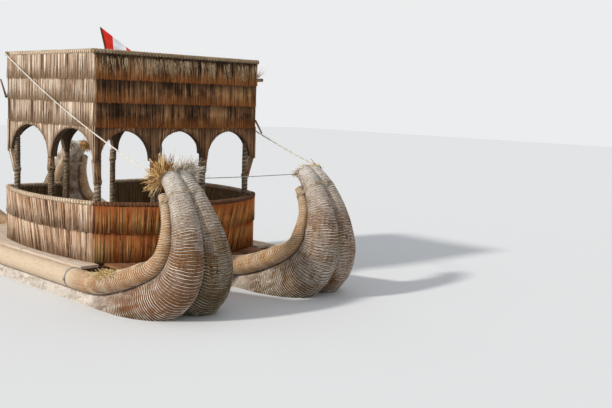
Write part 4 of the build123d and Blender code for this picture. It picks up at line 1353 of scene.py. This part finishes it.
# ---- Pole and flag ----
# A thin stick leans on the aft rail with a small cotton flag on it: an upright white
# band between two red ones, creased and drooping from its top corner.
finish_node("flag_pole", beam_wood)
POLE_FOOT = (-0.580, 0.460, 3.020)
POLE_TOP = 4.500
POLE_LEAN, POLE_SLANT = 0.2027, 0.150    # aft and to starboard, as shares of the height
POLE = 0.014
FLAG_BELOW_TOP = 0.010
FLY, HOIST = 0.660, 0.400
FLAG_TURN, FLAG_DROOP = 46, 36           # degrees to port of the bow, and below level
RED_END, WHITE_END = 0.36, 0.80          # where the bands end along the fly
BAND_SLANT = 0.12                        # the pull of the cloth slants the bands a little
FLAG_RED, FLAG_WHITE = (214, 44, 30), (236, 238, 246)
PLEATS, PLEAT_DEPTH = 2.5, 0.012
BILLOW, BILLOW_DEPTH = 2.4, 0.018        # half waves along the fly
CLOTH = 0.0012
CLOTH_ACROSS, CLOTH_DOWN = 40, 28


def flag_finish():
    """Cotton with a white band between two red ones, and a fine weave."""
    made, tree, place = new_finish("striped_cotton")
    run = put(tree, "ShaderNodeUVMap", uv_map="reed_run").outputs[0]
    across, down, _ = split(tree, run)
    along = maths(tree, "ADD", across, maths(tree, "MULTIPLY", down, BAND_SLANT))
    band = maths(tree, "COMPARE", along, (RED_END + WHITE_END) / 2, (WHITE_END - RED_END) / 2)
    colour = blend(tree, band, paint(*FLAG_RED), FLAG_WHITE)
    set_look(tree, colour, 0.8, cloudy(tree, place, 260.0), 0.3, 0.001)
    return made


def flag_cloth():
    """Thin closed sheet that droops from its upper corner in soft pleats."""
    pole = Vector((-POLE_LEAN, -POLE_SLANT, 1)).normalized()
    turn, droop = math.radians(FLAG_TURN), math.radians(FLAG_DROOP)
    fly = Vector((math.cos(turn) * math.cos(droop), math.sin(turn) * math.cos(droop),
                  -math.sin(droop)))
    face = fly.cross(pole).normalized()
    off = pole.cross(face).normalized()
    corner = (Vector(POLE_FOOT) + pole * ((POLE_TOP - POLE_FOOT[2]) / pole.z - FLAG_BELOW_TOP)
              + off * (POLE + SEAT))
    points = []
    for layer in (1, -1):
        for i in range(CLOTH_ACROSS + 1):
            for j in range(CLOTH_DOWN + 1):
                u, v = i / CLOTH_ACROSS, j / CLOTH_DOWN
                ripple = (math.sin(2 * math.pi * (PLEATS * v + 0.6 * u)) * PLEAT_DEPTH
                          * min(1, u * 4) * (0.4 + 0.6 * v)
                          + BILLOW_DEPTH * math.sin(BILLOW * math.pi * u) * u)
                points.append(corner + fly * (u * FLY) - pole * (v * HOIST)
                              + face * (ripple + layer * CLOTH / 2))
    row, half = CLOTH_DOWN + 1, (CLOTH_ACROSS + 1) * (CLOTH_DOWN + 1)
    faces = []
    for i in range(CLOTH_ACROSS):
        for j in range(CLOTH_DOWN):
            a = i * row + j
            faces.append((a, a + row, a + row + 1, a + 1))
            faces.append((half + a, half + a + 1, half + a + row + 1, half + a + row))
    for j in range(CLOTH_DOWN):
        for a in (j, CLOTH_ACROSS * row + j):
            faces.append((a, a + 1, half + a + 1, half + a))
    for i in range(CLOTH_ACROSS):
        for a in (i * row, i * row + CLOTH_DOWN):
            faces.append((a, a + row, half + a + row, half + a))
    uvs = [((c % half) // row / CLOTH_ACROSS, c % half % row / CLOTH_DOWN)
           for corners in faces for c in corners]
    return mesh_from("flag_cloth", points, faces, uvs)


cloth = flag_cloth()
cloth.materials.append(flag_finish())
flag = show("flag_cloth", cloth, ("flag",))

# ---- Line between the prows ----
# One thin grey rope is drawn tight from tip to tip of the two hulls. It is made fast on
# the inner bundle of each, just short of the end.
PROW_LINE = 0.006
PROW_LINE_SAG = 0.010
PROW_LINE_FROM_END = 0.06
PROW_LINE_POINTS = 31
grey_rope = cord_finish("grey_rope", (176, 174, 170), (120, 116, 110))


def prow_line():
    """Points from one inner tip to the other, with the line's small sag."""
    x, z, _, r, _ = hull_line(HULL_END - PROW_LINE_FROM_END, -1)
    share = np.linspace(-1, 1, PROW_LINE_POINTS)
    return np.stack([np.full(PROW_LINE_POINTS, x),
                     share * (HULL_Y - PRESSED * r - r - PROW_LINE),
                     z - PROW_LINE_SAG * (1 - share ** 2)], axis=-1)


show("prow_line", rope_along("prow_line", prow_line(), PROW_LINE, grey_rope))

# ---- Sticks that show at the cabin's corners ----
# Ends of the rough brown poles that stiffen the mats poke out past the corners, each
# thinner at its outer end. A few twigs stick out beside the topmost.
STICKS = (              # from, to, radius at each end
    ((1.800, 1.400, 3.655), (1.812, 1.610, 3.668), 0.030, 0.028),
    ((-0.800, -1.505, 3.260), (-0.965, -1.520, 3.540), 0.020, 0.012),
    ((1.838, 1.462, 3.020), (1.846, 1.600, 2.810), 0.016, 0.012))
STICK_HINT = (0.31, 0.17, 0.93)     # a direction that none of them runs along
STICK_RINGS, STICK_SIDES = 9, 12
TWIGS = 14
TWIG = 0.003
TWIG_ROOT, TWIG_REACH = (1.835, 1.474, 3.700), (0.02, 0.07, 0.10)
stick_wood = timber_finish("corner_stick", ((74, 52, 36), (122, 94, 68), (168, 142, 112)),
                           "Y", WHOLE_TIMBER)
sticks = []
for begin, end, wide, thin in STICKS:
    gone, points, across, up, _ = round_run(np.linspace(begin, end, STICK_RINGS), STICK_HINT,
                                            wide)
    sticks.append(reed_skin("stick", (gone, points, across, up,
                                      np.linspace(wide, thin, STICK_RINGS)),
                            STICK_SIDES, stick_wood, swelling=0.003))
show_all("corner_sticks", sticks)
twig_at = np.array(TWIG_ROOT) + mat_dice.normal(0, 0.012, (TWIGS, 3))
twig_to = twig_at + np.array(TWIG_REACH) + mat_dice.normal(0, 0.05, (TWIGS, 3))
twigs = reed_guides("twigs", twig_at, twig_to, (1.0, 0.0, 0.0), TWIG, TWIG,
                    mat_dice.random(TWIGS), mat_dice.normal(0, 0.02, (TWIGS, 3)))
show("corner_twigs", reeds("corner_twigs", twigs, bow_shaded, lengths=4, tip=0.4))

# ---- Tie and loose straw on the starboard roll ----
# Rope is passed twice round the gunwale roll and knotted on its outer side, near the
# deck's bow end. Loose straw lies on the roll where it rises to the prow.
TIE_PLACE = 1.930
TIE_ROPE = 0.004
TIE_PITCH = 0.014
TIE_SLACK = 0.003
TIE_STEPS = 72
STRAWS = 330
STRAW_FROM, STRAW_RUN = 0.60, 0.46      # along the raised end
STRAW_OFF_CREST = (-0.125, 0.025)
STRAW_LIFT = 0.010
STRAW_SPREAD = (0.085, 0.032, 0.018)
STRAW_HALF_WIDTH, STRAW_HALF_THICK = 0.0055, 0.0025
fallen_straw = loose_reed_finish("fallen_straw",
                                 ((150, 116, 62), (228, 198, 130), (244, 228, 176)))


def roll_crest(along, off):
    """Point on the starboard roll's skin that far off its crest to port."""
    x, z, a, r, rr = hull_line(along, 1)
    reach = r + rr + SEAT
    lift = reach * ROLL_UP + math.sqrt(rr ** 2 - off ** 2)
    return (x - math.sin(a) * lift, off - HULL_Y - PRESSED * r - reach * ROLL_SIDE,
            z + math.cos(a) * lift)


def tie_ropes():
    """Two turns of rope round the roll, and the loops of its knot."""
    _, z, _, r, rr = hull_line(TIE_PLACE, 1)
    reach = r + rr + SEAT
    y, z = -(HULL_Y + PRESSED * r + reach * ROLL_SIDE), z + reach * ROLL_UP
    radius = rr + TIE_ROPE + TIE_SLACK
    tie = [(TIE_PLACE + turn * TIE_PITCH, y + radius * math.cos(turn * 2 * math.pi),
            z + radius * math.sin(turn * 2 * math.pi))
           for turn in np.linspace(0, 2, TIE_STEPS)]
    knot = [(TIE_PLACE + TIE_PITCH + 0.016 * math.sin(3 * k),
             y - rr - 0.014 - 0.010 * math.cos(2 * k), z + 0.020 * math.sin(2 * k))
            for k in np.linspace(0, 2 * math.pi, 40)]
    return [rope_along("tie", np.array(points), TIE_ROPE, grey_rope) for points in (tie, knot)]


show_all("roll_tie", tie_ropes())
places = HALF_STRAIGHT + STRAW_FROM + STRAW_RUN * mat_dice.random(STRAWS)
off_crest = mat_dice.uniform(*STRAW_OFF_CREST, STRAWS)
straw_at = np.array([roll_crest(*spot) for spot in zip(places, off_crest)]) + (0, 0, STRAW_LIFT)
straw_to = straw_at + mat_dice.normal(0, 1, (STRAWS, 3)) * STRAW_SPREAD
straw = reed_guides("straw", straw_at, straw_to, (0.0, 0.2, 0.98), STRAW_HALF_WIDTH,
                    STRAW_HALF_THICK, mat_dice.random(STRAWS),
                    mat_dice.normal(0, 0.012, (STRAWS, 3)))
show("loose_straw", reeds("loose_straw", straw, fallen_straw, lengths=3))
